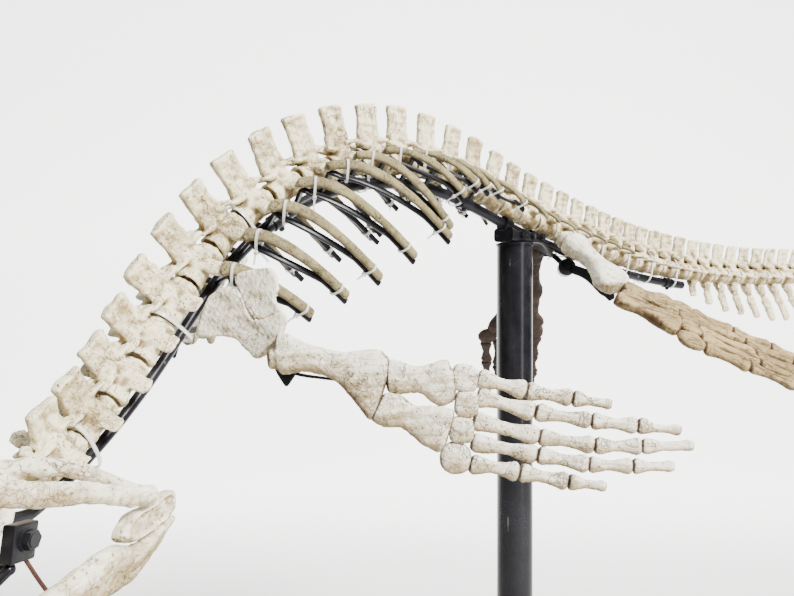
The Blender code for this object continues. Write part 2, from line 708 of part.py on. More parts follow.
def digit(name, frame, number, kind):
    (x, y), lengths, headings = DIGITS[number]
    stations = []
    if number in WRIST:
        (cx, cy), length, width = WRIST[number]
        for share, grow in WRIST_PROFILE:
            centre = Vector((cx + share * length, cy, 0))
            stations.append((centre, Vector((0, 1, 0)), width * grow, DIGIT_THICKNESS))
    spot = Vector((x, y, 0))
    for k, (length, turn) in enumerate(zip(lengths, headings)):
        turn = math.radians(turn)
        ahead = Vector((math.cos(turn), math.sin(turn), 0))
        across = Vector((-math.sin(turn), math.cos(turn), 0))
        shrink = 1 - DIGIT_TAPER * k
        thick = DIGIT_THICKNESS * shrink
        if not k:
            stations.append((spot + ahead * 0.001, across, JOINT_WIDTH, thick))
        stations.append((spot + ahead * length / 2, across, WAIST_WIDTH * shrink, thick * WAIST_THICKNESS))
        spot = spot + ahead * length
        last = k == len(lengths) - 1
        width = TIP_WIDTH if last else JOINT_WIDTH * shrink
        stations.append((spot, across, width, thick * (TIP_THICKNESS if last else 1)))
    rings = []
    for centre, across, width, thick in stations:
        up = Vector((0, 0, thick / 2))
        side = across * width / 2
        rings.append([frame @ p for p in (centre + side, centre + up, centre - side, centre - up)])
    bm = bmesh.new()
    loft(bm, rings)
    finish(bm, name, kind)


def paddle(limb, side, upper, outer, names, kinds):
    """A paddle: its upper bone in one frame, and the rest in another that starts from the same elbow."""
    flat_bone(f"{names[0]}_{side}", upper, UPPER_ARM, ARM_THICKNESS, kinds[0])
    flat_bone(f"{names[1]}_{side}", outer, RADIUS, FOREARM_THICKNESS, kinds[1])
    flat_bone(f"{names[2]}_{side}", outer, ULNA, FOREARM_THICKNESS, kinds[1])
    for number in range(len(DIGITS)):
        digit(f"{limb}_{side}_digit_{number + 1}", outer, number, kinds[2])


def limb_frame(origin, along, across, droop=0.0):
    """Axes with x down the limb and y to its leading edge, turned so that its fan of digits lies along it."""
    x = Vector(along).normalized()
    y = (Vector(across) - x * Vector(across).dot(x)).normalized()
    turn = math.radians(droop)
    down_limb = x * math.cos(turn) + y * math.sin(turn)
    to_edge = y * math.cos(turn) - x * math.sin(turn)
    return frame_of(down_limb, to_edge, x.cross(y), origin)


def bent_frame(upper, along, across, droop):
    """The outer paddle's axes, its elbow laid on the upper bone's."""
    outer = limb_frame(Vector(), along, across, droop) @ Matrix.Scale(HIND_SIZE, 4)
    outer.translation = upper @ ELBOW_ON_UPPER - outer.to_3x3() @ ELBOW
    return outer


ELBOW, ELBOW_ON_UPPER = Vector((0.136, -0.046, 0)), Vector((0.160, -0.046, 0))

# ---- the girdles ----
# Flat outlines (along, up) from the shoulder joint.
CORACOID = (
    (-0.124, 0.020),
    (-0.113, 0.049),
    (-0.101, 0.066),
    (-0.066, 0.070),
    (-0.042, 0.031),
    (-0.007, 0.041),
    (0.003, 0.030),
    (-0.010, 0.004),
    (-0.036, -0.016),
    (-0.051, -0.008),
    (-0.072, 0.009),
    (-0.121, 0.009),
)
SCAPULA = (
    (-0.068, 0.086),
    (-0.051, 0.093),
    (-0.033, 0.097),
    (-0.016, 0.094),
    (-0.007, 0.075),
    (-0.012, 0.057),
    (-0.004, 0.043),
    (-0.039, 0.034),
    (-0.063, 0.071),
)
GIRDLE_THICKNESS = 0.009
SHOULDER = Vector((-0.3996, -0.5390, 1.3904))
GIRDLE_ALONG = Vector((0.949, -0.314, 0.0))
GIRDLE_LEVEL = 6  # the vertebra across which the right girdle mirrors the left
RIGHT_SET_BACK = 0.012
ARM_ROOT = Vector((-0.40125, -0.550, 1.37875))
RIGHT_ARM_WAY, RIGHT_ARM_ACROSS = (0.02, 0.94, 0.30), (0.0, -0.30, 0.95)

HIP = Vector((0.131, 0.020, 1.571))
HIP_LEVEL = 21.25  # how far down the backbone, in vertebrae
THIGH_WAY, THIGH_ACROSS = (0.45, -0.62, -0.50), (0.403, 0.843, 0.356)
SHANK_WAY = (0.870, -0.200, -0.420)
RIGHT_LEG_WAY, RIGHT_LEG_ACROSS = (0.070, 0.689, -0.723), (0.99, -0.07, 0.03)
FAN_DROOP = 13
HIND_SIZE = 1.26  # of the hind paddle to the fore


def mirror(point, frame):
    """A point on the other side of the body's middle plane."""
    left = Vector(frame.col[1][:3])
    return point - left * 2 * (point - frame.translation).dot(left)


def mirror_way(way, frame):
    left = Vector(frame.col[1][:3])
    return Vector(way) - left * 2 * Vector(way).dot(left)


def plate(name, frame, outline):
    faces = (-GIRDLE_THICKNESS / 2, GIRDLE_THICKNESS / 2)
    bm = bmesh.new()
    loft(bm, [[frame @ Vector((x, y, z)) for x, y in outline] for z in faces])
    finish(bm, name, BONE)


def shoulder_frames():
    left = frame_of(GIRDLE_ALONG, Vector((0, 0, 1)), GIRDLE_ALONG.cross(Vector((0, 0, 1))), SHOULDER)
    level = vertebra(GIRDLE_LEVEL)
    away = -Vector(level.col[1][:3]) * RIGHT_SET_BACK
    along = mirror_way(GIRDLE_ALONG, level)
    right = frame_of(along, Vector((0, 0, 1)), along.cross(Vector((0, 0, 1))), mirror(SHOULDER, level) + away)
    return left, right, mirror(ARM_ROOT, level) + away


# ---- the steelwork: ways through points of the room, and (breadth, thickness) along them ----
CROSS_RADIUS, CROSS_SIDES = 0.019, 10
CROSS_NEAR, CROSS_FAR = (0.1196, 0.0205, 1.5185), (0.1480, 0.1400, 1.5185)
THIGH_ARM = ((0.122, 0.030, 1.518), (0.150, -0.020, 1.500), (0.180, -0.050, 1.470), (0.189, -0.060, 1.446))
THIGH_ARM_SIZES = ((0.020, 0.006), (0.022, 0.006), (0.034, 0.006), (0.012, 0.005))
FAR_ARM_SIZES = ((0.012, 0.006),) * 3
FAR_ARM = ((0.146, 0.130, 1.524), (0.122, 0.148, 1.552), (0.092, 0.142, 1.556))

SHOULDER_ARM = (
    (-0.490, -0.478, 1.397),
    (-0.4212, -0.515, 1.382),
    (-0.3927, -0.528, 1.355),
    (-0.334, -0.533, 1.341),
)
SHOULDER_ARM_SIZES = ((0.012, 0.005), (0.014, 0.005), (0.018, 0.005), (0.026, 0.005), (0.008, 0.004))
ARM_FOOT = (-0.015, 0.0175, -0.037)  # where a shoulder arm leaves the tube
JAW_YOKE = ((0.145, 0.068, -0.078), (0.095, 0.074, -0.046), (0.095, -0.074, -0.046), (0.145, -0.068, -0.078))
YOKE_SIZE, YOKE_BROAD = 0.008, (0, 0.3, 1)
CLAMP_SPOT, CLAMP_SIZE = (0.090, 0.076, -0.026), (0.034, 0.012, 0.038)


def tube_drop(s):
    """How far under the backbone's middle the armature tube runs."""
    index = float(np.interp(s, STARTS, range(COUNT + 1)))
    return size(index, BODY_AT, BODY_RADIUS) * BODY_DEPTH + TUBE_CLEAR + TUBE_CORNER


def tube_ring(s, sides=6):
    frame = place(s)
    back, left = Vector(frame.col[0][:3]), Vector(frame.col[1][:3])
    return section(at(frame, 0, 0, -tube_drop(s)), back, left, 2 * TUBE_RADIUS, 2 * TUBE_RADIUS, sides)


def pole_crossing():
    """Where along the backbone it crosses the pole's axis."""
    s = 0.0
    while place(s).translation.x < 0:
        s += WALK
    return s


ROD_INSET = RIB_THICKNESS[0] / 2 + ROD_THICKNESS / 2 + 0.0045
ROD_STEPS = 2
ROD_NARROWING = 0.7  # of a rod away from the tube
STATION_CLEAR = 0.01  # from the tube's ends to its nearest ring


def armature(name, start, end, nose=None):
    """The tube under the backbone, with a rod under each long rib grown from its sides."""
    stations, carried = [], {}
    for index in range(COUNT):
        middle = (STARTS[index] + STARTS[index + 1]) / 2
        if not start + STATION_CLEAR < middle < end - STATION_CLEAR:
            continue
        if FIRST_RIB <= index <= LAST_LONG_RIB:
            carried[index] = len(stations) + (2 if nose else 1)
            stations += [middle - ROD_BREADTH / 2, middle + ROD_BREADTH / 2]
        else:
            stations.append(middle)
    rings = [tube_ring(s) for s in (start, *stations, end)]
    if nose:
        rings.insert(0, nose)
    bm = bmesh.new()
    rows = loft(bm, rings)
    for index, row in carried.items():
        for side, face in ((1, 5), (-1, 2)):
            corners = between(rows, row, face)
            path = rib_path(index, side, ROD_STEPS, ROD_INSET)
            broad = Vector(vertebra(index).col[0][:3])
            for step in range(ROD_STEPS + 1):
                ahead = path[min(step + 1, ROD_STEPS)] - path[max(step - 1, 0)]
                ring = section(path[step], ahead, broad, ROD_BREADTH * ROD_NARROWING, ROD_THICKNESS)
                corners = pull(bm, corners, match(corners, ring))
    finish(bm, name, STEEL)


def turned(name, profile, segments):
    """A round piece spun about the pole's axis from its profile of (radius, height), closed on the axis."""
    bm = bmesh.new()
    verts = [bm.verts.new((r, 0, z)) for r, z in profile]
    edges = [bm.edges.new(pair) for pair in zip(verts, verts[1:])]
    bmesh.ops.spin(
        bm,
        geom=verts + edges,
        cent=(0, 0, 0),
        axis=(0, 0, 1),
        angle=math.tau,
        steps=segments,
        use_merge=True,
    )
    bmesh.ops.remove_doubles(bm, verts=bm.verts, dist=0.0001)
    return finish(bm, name, STEEL)


def stand():
    length, width, thick = PLATE_SIZE
    bm = bmesh.new()
    spread = Matrix.Diagonal((length, width, thick, 1))
    bmesh.ops.create_cube(bm, size=1.0, matrix=Matrix.Translation((*PLATE_CENTRE, thick / 2)) @ spread)
    upright = [e for e in bm.edges if abs(e.verts[0].co.z - e.verts[1].co.z) > thick / 2]
    bmesh.ops.bevel(
        bm, geom=upright, offset=PLATE_CORNER, segments=3, profile=0.5, affect="EDGES", material=-1
    )
    finish(bm, "stand_base", STEEL)

    foot = thick + GAP
    profile = (
        (0, foot),
        (FLANGE_RADIUS, foot),
        (FLANGE_RADIUS, foot + FLANGE),
        (POLE_RADIUS, foot + FLANGE),
        (POLE_RADIUS, POLE_TOP - RIM),
        (RIM_RADIUS, POLE_TOP - RIM),
        (RIM_RADIUS, POLE_TOP),
        (0, POLE_TOP),
    )
    turned("stand_pole", profile, POLE_SIDES)

    crossing = pole_crossing()
    rings = []
    for ahead, half, base in SADDLE:
        frame = place(crossing + ahead)
        top = -tube_drop(crossing + ahead) - TUBE_CORNER - GAP
        upper = [at(frame, 0, y, top) for y in (half, -half)]
        floor_height = POLE_TOP + GAP
        lower = [Vector((p.x, p.y, p.z - base if base else floor_height)) for p in reversed(upper)]
        rings.append(upper + lower)
    bm = bmesh.new()
    loft(bm, rings)
    finish(bm, "stand_saddle", STEEL)

    nose = [SKULL @ Vector((NOSE_FORWARD, y, z)) for y, z in hexagon(TUBE_RADIUS, NOSE_DROP)]
    armature("stand_armature_front", 0.0, crossing - GAP, nose)
    armature("stand_armature_rear", crossing + GAP, STARTS[TUBE_END])
    hip_frame()
    jaw_frame()


def hexagon(radius, height):
    grow = radius / math.cos(math.pi / 6)
    turns = [math.tau * (k + 0.5) / 6 for k in range(6)]
    return [(math.cos(turn) * grow, height + math.sin(turn) * grow) for turn in turns]


def hip_frame():
    """The tube across under the hips, with an arm along the near thigh and one to the far hip."""
    near, far = Vector(CROSS_NEAR), Vector(CROSS_FAR)
    bm = bmesh.new()
    around_tube = [
        section(spot, far - near, Vector((1, 0, 0)), 2 * CROSS_RADIUS, 2 * CROSS_RADIUS, CROSS_SIDES)
        for spot in (near, far)
    ]
    loft(bm, around_tube)
    tube = finish(bm, "stand_hip", STEEL)
    unite(
        tube,
        [
            brace("thigh_arm", THIGH_ARM, THIGH_ARM_SIZES),
            brace("far_arm", FAR_ARM, FAR_ARM_SIZES),
        ],
    )


def brace(name, path, sizes):
    """A flat steel arm through points of the room."""
    bm = bmesh.new()
    loft(bm, bar_rings([Vector(p) for p in path], sizes, Vector((0, 0, 1))))
    return finish(bm, name, STEEL)


def jaw_frame():
    """The yoke under the skull that carries the lower jaws."""
    points = [SKULL @ Vector(p) for p in JAW_YOKE]
    bm = bmesh.new()
    loft(bm, bar_rings(points, [(YOKE_SIZE, YOKE_SIZE)] * len(points), SKULL.to_3x3() @ Vector(YOKE_BROAD)))
    yoke = finish(bm, "stand_jaw_yoke", STEEL)
    clamps = []
    for side in (1, -1):
        x, y, z = CLAMP_SPOT
        spot = Matrix.Translation((x, y * side, z))
        bm = bmesh.new()
        bmesh.ops.create_cube(bm, size=1.0, matrix=SKULL @ spot @ Matrix.Diagonal((*CLAMP_SIZE, 1)))
        clamps.append(finish(bm, f"clamp_{side}", STEEL))
    unite(yoke, clamps)


def shoulder_arms():
    level = vertebra(GIRDLE_LEVEL)
    back, left, up = ARM_FOOT
    away = -Vector(level.col[1][:3]) * RIGHT_SET_BACK
    brace("stand_shoulder_left", [at(level, back, left, up), *SHOULDER_ARM], SHOULDER_ARM_SIZES)
    mirrored = [mirror(Vector(p), level) + away for p in SHOULDER_ARM[:3]]
    brace("stand_shoulder_right", [at(level, back, -left, up), *mirrored], SHOULDER_ARM_SIZES[:4])


def main():
    clear_scene()
    skull()
    for side, name in ((1, "left"), (-1, "right")):
        quadrate(f"quadrate_{name}", side)
        jaw(f"jaw_{name}", side)
        trunk_side(f"trunk_{name}", side)
    column("neck", 0, NECK, STOUT, spine_steps=True)
    start = NECK + TRUNK
    column("tail_base", start, start + PELVIC, STOUT, jointed=True)
    ends = [start + PELVIC + CAUDAL // TAIL_PARTS * k for k in range(TAIL_PARTS + 1)]
    for k, (first, last) in enumerate(zip(ends, ends[1:])):
        column(f"tail_{k + 1}", first, last, PLAIN)

    left, right, right_root = shoulder_frames()
    for name, frame in (("left", left), ("right", right)):
        plate(f"coracoid_{name}", frame, CORACOID)
        plate(f"scapula_{name}", frame, SCAPULA)

    fore, hind = ("humerus", "radius", "ulna"), ("femur", "tibia", "fibula")
    grown = Matrix.Scale(HIND_SIZE, 4)
    arm = limb_frame(ARM_ROOT, (1, 0, 0), (0, 0, 1))
    paddle("fore", "left", arm, arm, fore, (BONE, BONE, BONE))
    arm = limb_frame(right_root, RIGHT_ARM_WAY, RIGHT_ARM_ACROSS, FAN_DROOP)
    paddle("fore", "right", arm, arm, fore, (BONE, BONE, BONE))
    thigh = limb_frame(HIP, THIGH_WAY, THIGH_ACROSS) @ grown
    shank = bent_frame(thigh, SHANK_WAY, THIGH_ACROSS, FAN_DROOP)
    paddle("hind", "left", thigh, shank, hind, (BONE, STAINED, STAINED))
    hip_level = place(float(np.interp(HIP_LEVEL, range(COUNT + 1), STARTS)))
    leg = limb_frame(mirror(HIP, hip_level), RIGHT_LEG_WAY, RIGHT_LEG_ACROSS, FAN_DROOP) @ grown
    paddle("hind", "right", leg, leg, hind, (BONE, DARK_BONE, DARK_BONE))
    stand()
    shoulder_arms()


main()
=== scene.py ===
"""A mounted mosasaur skeleton on its steel armature, pole and floor plate.

Metres, +Z up. The origin is the foot of the pole's axis. The animal faces -Y and a little -X, its left side
turned to -Y, and its tail runs out to +X.

Backbone places are given as (back, left, up): along the column to the tail, to the animal's left, and up
the spine. Skull places are (forward, left, up) from the hind face of the skull.
"""

import math

import bmesh
import bpy
import numpy as np
from bpy.props import FloatProperty, FloatVectorProperty, PointerProperty
from mathutils import Matrix, Vector


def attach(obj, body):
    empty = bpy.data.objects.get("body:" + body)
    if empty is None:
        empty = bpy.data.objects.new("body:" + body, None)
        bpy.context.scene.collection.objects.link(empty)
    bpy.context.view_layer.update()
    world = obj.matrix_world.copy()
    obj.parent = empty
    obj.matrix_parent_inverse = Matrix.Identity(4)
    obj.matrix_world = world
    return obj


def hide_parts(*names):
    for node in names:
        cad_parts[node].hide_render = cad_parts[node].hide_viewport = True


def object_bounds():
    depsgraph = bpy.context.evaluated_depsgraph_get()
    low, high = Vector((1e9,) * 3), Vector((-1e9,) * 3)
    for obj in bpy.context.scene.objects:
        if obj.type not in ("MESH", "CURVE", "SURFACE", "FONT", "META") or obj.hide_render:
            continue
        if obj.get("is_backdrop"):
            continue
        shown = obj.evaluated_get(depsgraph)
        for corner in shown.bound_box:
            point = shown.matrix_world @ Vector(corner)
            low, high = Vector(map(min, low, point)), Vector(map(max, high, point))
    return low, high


bl_info = {
    "name": "Mosasaur Skeleton",
    "version": (1, 0, 0),
    "blender": (4, 5, 0),
    "location": "View3D > Sidebar > Skeleton",
    "description": "Builds a mounted mosasaur skeleton with its armature, pole and floor plate",
    "category": "Add Mesh",
}

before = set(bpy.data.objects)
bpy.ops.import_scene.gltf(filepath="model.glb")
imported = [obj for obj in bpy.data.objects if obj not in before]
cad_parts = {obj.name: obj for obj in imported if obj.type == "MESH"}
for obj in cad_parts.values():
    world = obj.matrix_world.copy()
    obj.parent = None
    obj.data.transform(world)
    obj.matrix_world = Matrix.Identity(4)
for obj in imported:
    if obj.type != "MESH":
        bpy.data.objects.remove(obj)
START_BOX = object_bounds()

# ---- the backbone ----
NECK, TRUNK, PELVIC, CAUDAL = 7, 18, 6, 80
FIRST_CAUDAL = NECK + TRUNK + PELVIC
COUNT = FIRST_CAUDAL + CAUDAL
FRONT_TRUNK = 9  # vertebrae in the front piece of the trunk
TAIL_PIECES = 4
LEAST_SPACING, TAIL_SPACING = 0.0006, 0.121  # of the tail's surfaces: in metres, and as a share of the radius
LENGTH_AT = (0, 1, 3, 8, 18, 24, 27, 40, 110)
LENGTH = (0.024, 0.056, 0.060, 0.063, 0.061, 0.054, 0.047, 0.043, 0.010)
NAPE = Vector((-0.621, -0.715, 1.264))
HEADING_STEP = 0.25
YAW = (84, 58, 45, 40, 41, 37, 34, 20, 13, 6, -2, -10, -15, -14, -8, 2, 10, 14)
PITCH = (18, 53, 36, 7, -14, -12, -10, -6, 0, 5, 7, 6, 3, 0, -3, -5, -5, -4)
WALK = 0.005

BODY_AT = (0, 1, 6, 18, 26, 34, 60, 90, 110)
BODY_RADIUS = (0.017, 0.019, 0.021, 0.024, 0.026, 0.024, 0.018, 0.010, 0.003)
SPINE_AT = (0, 1, 5, 9, 13, 21, 30, 39, 58, 80, 100, 110)
SPINE_TOP = (0.034, 0.060, 0.074, 0.091, 0.101, 0.094, 0.090, 0.076, 0.078, 0.048, 0.020, 0.007)
SPINE_LENGTH_AT = (0, 1, 8, 12, 16, 30, 40, 110)
SPINE_LENGTH = (0.008, 0.034, 0.036, 0.038, 0.033, 0.034, 0.031, 0.006)
SPINE_LEAN_AT = (0, 8, 25, 31, 50, 110)
SPINE_LEAN = (0.004, 0.002, 0.000, 0.004, 0.022, 0.008)
HAEMAL_AT = (31, 33, 36, 45, 60, 90, 110)
HAEMAL_DROP = (0.040, 0.075, 0.100, 0.100, 0.080, 0.030, 0.006)
HAEMAL_BACK = (0.020, 0.040, 0.060, 0.065, 0.060, 0.020, 0.004)
HAEMAL_LAST = 100
WING_AT = (1, 6, 12, 18, 25, 31, 40, 52)
WING_REACH = (0.036, 0.045, 0.040, 0.036, 0.062, 0.058, 0.040, 0.021)
WING_UP = (-0.006, -0.010, 0.012, 0.010, 0.000, -0.004, -0.006, -0.002)
WING_LAST = 48

# ---- the ribs ----
FIRST_RIB, LAST_LONG_RIB = 6, 16
RIB_AT = (6, 7, 8, 9, 10, 11, 12, 13, 15, 17, 18, 24)
RIB_BACK = (0.027, 0.037, 0.064, 0.104, 0.155, 0.120, 0.120, 0.100, 0.060, 0.100, 0.045, 0.030)
RIB_DROP = (0.129, 0.154, 0.177, 0.186, 0.180, 0.150, 0.090, 0.060, 0.040, 0.030, 0.015, 0.008)
RIB_OUT = (0.046, 0.060, 0.060, 0.060, 0.060, 0.060, 0.060, 0.060, 0.050, 0.045, 0.025, 0.015)
RIGHT_DROP = 0.93

# ---- the skull ----
SKULL_YAW, SKULL_PITCH = math.radians(82), math.radians(10)

# ---- the armature and stand ----
TUBE_END = 31
TUBE_CORNER = 0.01155
TUBE_CLEAR = 0.0028
ROD_BREADTH, ROD_THICKNESS, ROD_INSET = 0.0095, 0.0062, 0.0098
ROD_SAG = 0.0165
POLE_TOP = 1.568
PLATE_SIZE = (1.05, 0.90, 0.015)
PLATE_CENTRE = (0.04, -0.06)
FLANGE_RADIUS, FLANGE = 0.090, 0.012


# ================================================================ settings
class BoneSettings(bpy.types.PropertyGroup):
    """Colours and surface of the bones."""

    light: FloatVectorProperty(
        name="Bone", description="The cream of clean bone", subtype="COLOR", size=3, min=0, max=1,
        default=(0.850, 0.770, 0.535),
    )
    # This tan is also the painted shade on the bones' downward faces.
    shade: FloatVectorProperty(
        name="Aged bone", description="The tan that bone ages to", subtype="COLOR", size=3, min=0, max=1,
        default=(0.335, 0.235, 0.090),
    )
    # Besides real stain, this brown paints the shade in the bones' hollows.
    stain: FloatVectorProperty(
        name="Stain", description="The brown that lies in hollows and cracks", subtype="COLOR", size=3,
        min=0, max=1, default=(0.075, 0.036, 0.013),
    )
    rib: FloatVectorProperty(
        name="Ribs", description="The olive tan of the ribs", subtype="COLOR", size=3, min=0, max=1,
        default=(0.250, 0.205, 0.095),
    )
    # Painted shade: the far hind paddle's brown bone, made darker for the shade it stands in.
    dark: FloatVectorProperty(
        name="Dark bone", description="The brown of the far hind paddle", subtype="COLOR", size=3,
        min=0, max=1, default=(0.055, 0.030, 0.015),
    )
    fineness: FloatProperty(
        name="Fineness", description="Spacing of the surface on the trunk's bones", subtype="DISTANCE",
        unit="LENGTH", min=0.0012, max=0.006, default=0.0021,
    )


class MountSettings(bpy.types.PropertyGroup):
    """Sizes and colour of the steelwork."""

    pole_radius: FloatProperty(
        name="Pole radius", description="Outside radius of the pole", subtype="DISTANCE", unit="LENGTH",
        min=0.02, max=0.06, default=0.038,
    )
    tube_radius: FloatProperty(
        name="Armature radius", description="Radius of the steel under the backbone", subtype="DISTANCE",
        unit="LENGTH", min=0.005, max=0.012, default=0.0105,
    )
    steel: FloatVectorProperty(
        name="Steel", description="The black paint of the steelwork", subtype="COLOR", size=3, min=0, max=1,
        default=(0.005, 0.005, 0.007),
    )
    tie: FloatVectorProperty(
        name="Ties", description="The clear nylon of the ties", subtype="COLOR", size=3, min=0, max=1,
        default=(0.78, 0.78, 0.74),
    )


class StageSettings(bpy.types.PropertyGroup):
    """The floor, lights and camera."""

    floor: FloatVectorProperty(
        name="Floor", description="Colour of the floor and backdrop", subtype="COLOR", size=3, min=0, max=1,
        default=(0.74, 0.74, 0.73),
    )
    key_power: FloatProperty(
        name="Key light", description="Power of the largest light, in watts", min=0, max=3000, default=820,
    )
    lens: FloatProperty(
        name="Lens", description="Focal length on a 36 mm sensor, in millimetres", min=10, max=200,
        default=27.2,
    )


# ================================================================ materials
class Field:
    """A value that varies over a surface, and that Python's operators work on."""

    def __init__(self, finish, socket):
        self.finish = finish
        self.socket = socket

    def _maths(self, operation, first, second):
        return self.finish.node("ShaderNodeMath", {"operation": operation}, {0: first, 1: second})

    def __add__(self, other):
        return self._maths("ADD", self, other)

    __radd__ = __add__

    def __mul__(self, other):
        return self._maths("MULTIPLY", self, other)

    __rmul__ = __mul__

    def __sub__(self, other):
        return self._maths("SUBTRACT", self, other)

    def __rsub__(self, other):
        return self._maths("SUBTRACT", other, self)

    def rise(self, low, high):
        """0 below low, 1 above high, and smooth between."""
        return self.finish.node(
            "ShaderNodeMapRange", {"interpolation_type": "SMOOTHSTEP"}, {0: self, 1: low, 2: high}
        )


class Finish:
    """A material under construction."""

    def __init__(self, name):
        self.material = bpy.data.materials.new(name)
        self.material.use_nodes = True
        self.tree = self.material.node_tree
        self.shader = self.tree.nodes["Principled BSDF"]

    def node(self, kind, settings=None, values=None, output=0):
        """Add a node: its settings first, then the values or fields of its sockets."""
        made = self.tree.nodes.new(kind)
        for key, value in (settings or {}).items():
            setattr(made, key, value)
        for key, value in (values or {}).items():
            self.feed(made.inputs[key], value)
        return Field(self, made.outputs[output])

    def feed(self, socket, value):
        """Link a field to a socket, or set its value."""
        if isinstance(value, Field):
            self.tree.links.new(value.socket, socket)
        else:
            socket.default_value = value

    def set(self, **values):
        """Feed sockets of the shader, named with _ for a space."""
        for key, value in values.items():
            self.feed(self.shader.inputs[key.replace("_", " ")], value)

    def mix(self, amount, first, second, blend="MIX"):
        """A colour between two."""
        values = {0: amount, 6: first, 7: second}
        return self.node("ShaderNodeMix", {"data_type": "RGBA", "blend_type": blend}, values, 2)

    def where(self):
        return self.node("ShaderNodeTexCoord", output="Object")

    def attribute(self, name, output="Fac"):
        return self.node("ShaderNodeAttribute", {"attribute_name": name}, output=output)

    def stretch(self, vector, scale, location=(0, 0, 0)):
        return self.node("ShaderNodeMapping", {}, {"Vector": vector, "Scale": scale, "Location": location})

    def noise(self, vector, scale, detail=3.0, roughness=0.5):
        values = {"Vector": vector, "Scale": scale, "Detail": detail, "Roughness": roughness}
        return self.node("ShaderNodeTexNoise", {}, values)

    def cells(self, vector, scale, feature="F1"):
        return self.node("ShaderNodeTexVoronoi", {"feature": feature}, {"Vector": vector, "Scale": scale})

    def part(self, vector, axis):
        """One of a vector's three numbers."""
        return self.node("ShaderNodeSeparateXYZ", {}, {0: vector}, axis)

    def facing_up(self):
        return self.part(self.node("ShaderNodeNewGeometry", output="Normal"), "Z")

    def bump(self, height, strength, distance):
        values = {"Height": height, "Strength": strength, "Distance": distance}
        self.set(Normal=self.node("ShaderNodeBump", {}, values))


def solid(colour):
    """An opaque colour."""
    return (*colour, 1.0)


# low sets how far up a bone's sides the painted shade of its undersides climbs.
def bone_finish(name, light, shade, stain, streaking=0.35, age=0.5, dirt=1.0, low=0.08, gloss=0.62):
    """Old bone: blotched, streaked along its length, pitted, cracked, with painted shade on its downward
    faces, and brown in its hollows, partly stain and partly painted shade.
    """
    f = Finish(name)
    where = f.where()
    grain = f.attribute("grain", "Vector")
    hollow = f.attribute("hollow")
    tone = f.attribute("tone")
    blotch = f.noise(where, 14.0, 4.0, 0.6)
    mottle = f.noise(where, 75.0, 5.0, 0.68)
    crumb = f.noise(where, 330.0, 4.0, 0.65)
    streak = f.noise(f.stretch(grain, (22, 260, 260)), 1.0, 4.0, 0.62)
    fibre = f.noise(f.stretch(grain, (60, 900, 900)), 1.0, 3.0, 0.6)
    seam = f.attribute("seam")
    brown = tuple(0.45 * a + 0.55 * b for a, b in zip(shade, stain))
    patch = (blotch * 0.62 + mottle * 0.38 + tone * 0.10 + (age - 0.55)).rise(0.47, 0.60)
    colour = f.mix(patch * (0.42 * dirt), solid(light), solid(shade))
    colour = f.mix(streak.rise(0.50, 0.62) * (streaking * 0.7), colour, solid(shade))
    # Painted shade: faces that turn down are tinted to the aged tan and then to brown, broken up by blotches.
    # low lifts this shade up the sides.
    up = f.facing_up()
    under = (mottle - 0.5) * 0.8 + (blotch - 0.5) * 0.5 - up
    colour = f.mix((under + low).rise(0.0, 0.50) * 0.80, colour, solid(shade))
    colour = f.mix((under + (low - 0.08)).rise(0.35, 0.90) * 0.75, colour, solid(brown))
    # Painted shade in the hollows, over real brown stain: the hollow measure darkens to brown, and its
    # deepest parts to the stain colour.
    painted_hollow_shade = (hollow * 1.3 + (mottle - 0.5) * 0.9).rise(-0.05, 0.70)
    colour = f.mix(painted_hollow_shade * 0.85, colour, solid(brown))
    colour = f.mix((hollow + (crumb - 0.5) * 0.8).rise(0.45, 1.10) * 0.90, colour, solid(stain))
    # Paler on ridges and raised parts, where the hollow measure is below zero.
    paler_on_ridges = (0.0 - hollow + (crumb - 0.5) * 0.3).rise(0.10, 0.75)
    pale = tuple(min(c * 1.06 + 0.03, 0.92) for c in light)
    colour = f.mix(paler_on_ridges * 0.50, colour, solid(pale))
    drift = f.node("ShaderNodeTexNoise", {}, {"Vector": where, "Scale": 38.0, "Detail": 4.0}, "Color")
    drift = f.node("ShaderNodeVectorMath", {"operation": "SCALE"}, {0: drift, "Scale": 0.055})
    bent = f.node("ShaderNodeVectorMath", {"operation": "ADD"}, {0: where, 1: drift})
    rift = 1 - f.cells(bent, 30.0, "DISTANCE_TO_EDGE").rise(0.0, 0.026)
    crack = rift * f.noise(where, 17.0, 3.0).rise(0.49, 0.60)
    craze = (1 - f.cells(bent, 95.0, "DISTANCE_TO_EDGE").rise(0.0, 0.075)) * blotch.rise(0.50, 0.60)
    pit = (1 - f.cells(where, 215.0).rise(0.10, 0.44)) * mottle.rise(0.47, 0.58)
    fleck = crumb.rise(0.56, 0.68) * blotch.rise(0.44, 0.58)
    colour = f.mix(fleck * (0.55 * dirt), colour, solid(brown))
    colour = f.mix(craze * 0.22, colour, solid(brown))
    colour = f.mix(pit * (0.60 * dirt), colour, solid(brown))
    colour = f.mix(crack * 0.55, colour, solid(brown))
    # Brown on the ends of bones where they meet their neighbours: partly joint stain, partly painted shade
    # between the bones.
    colour = f.mix((seam + (crumb - 0.5) * 0.7).rise(0.25, 0.95) * 0.85, colour, solid(stain))
    f.set(Base_Color=colour, Roughness=gloss + 0.18 * mottle + 0.10 * painted_hollow_shade)
    f.shader.inputs["Specular IOR Level"].default_value = 0.30
    raised = streak * 0.60 + fibre * 0.20 + mottle * 0.90 + crumb * 0.35
    f.bump(raised - pit * 0.75 - crack * 0.9 - craze * 0.4, 1.0, 0.0026)
    return f.material


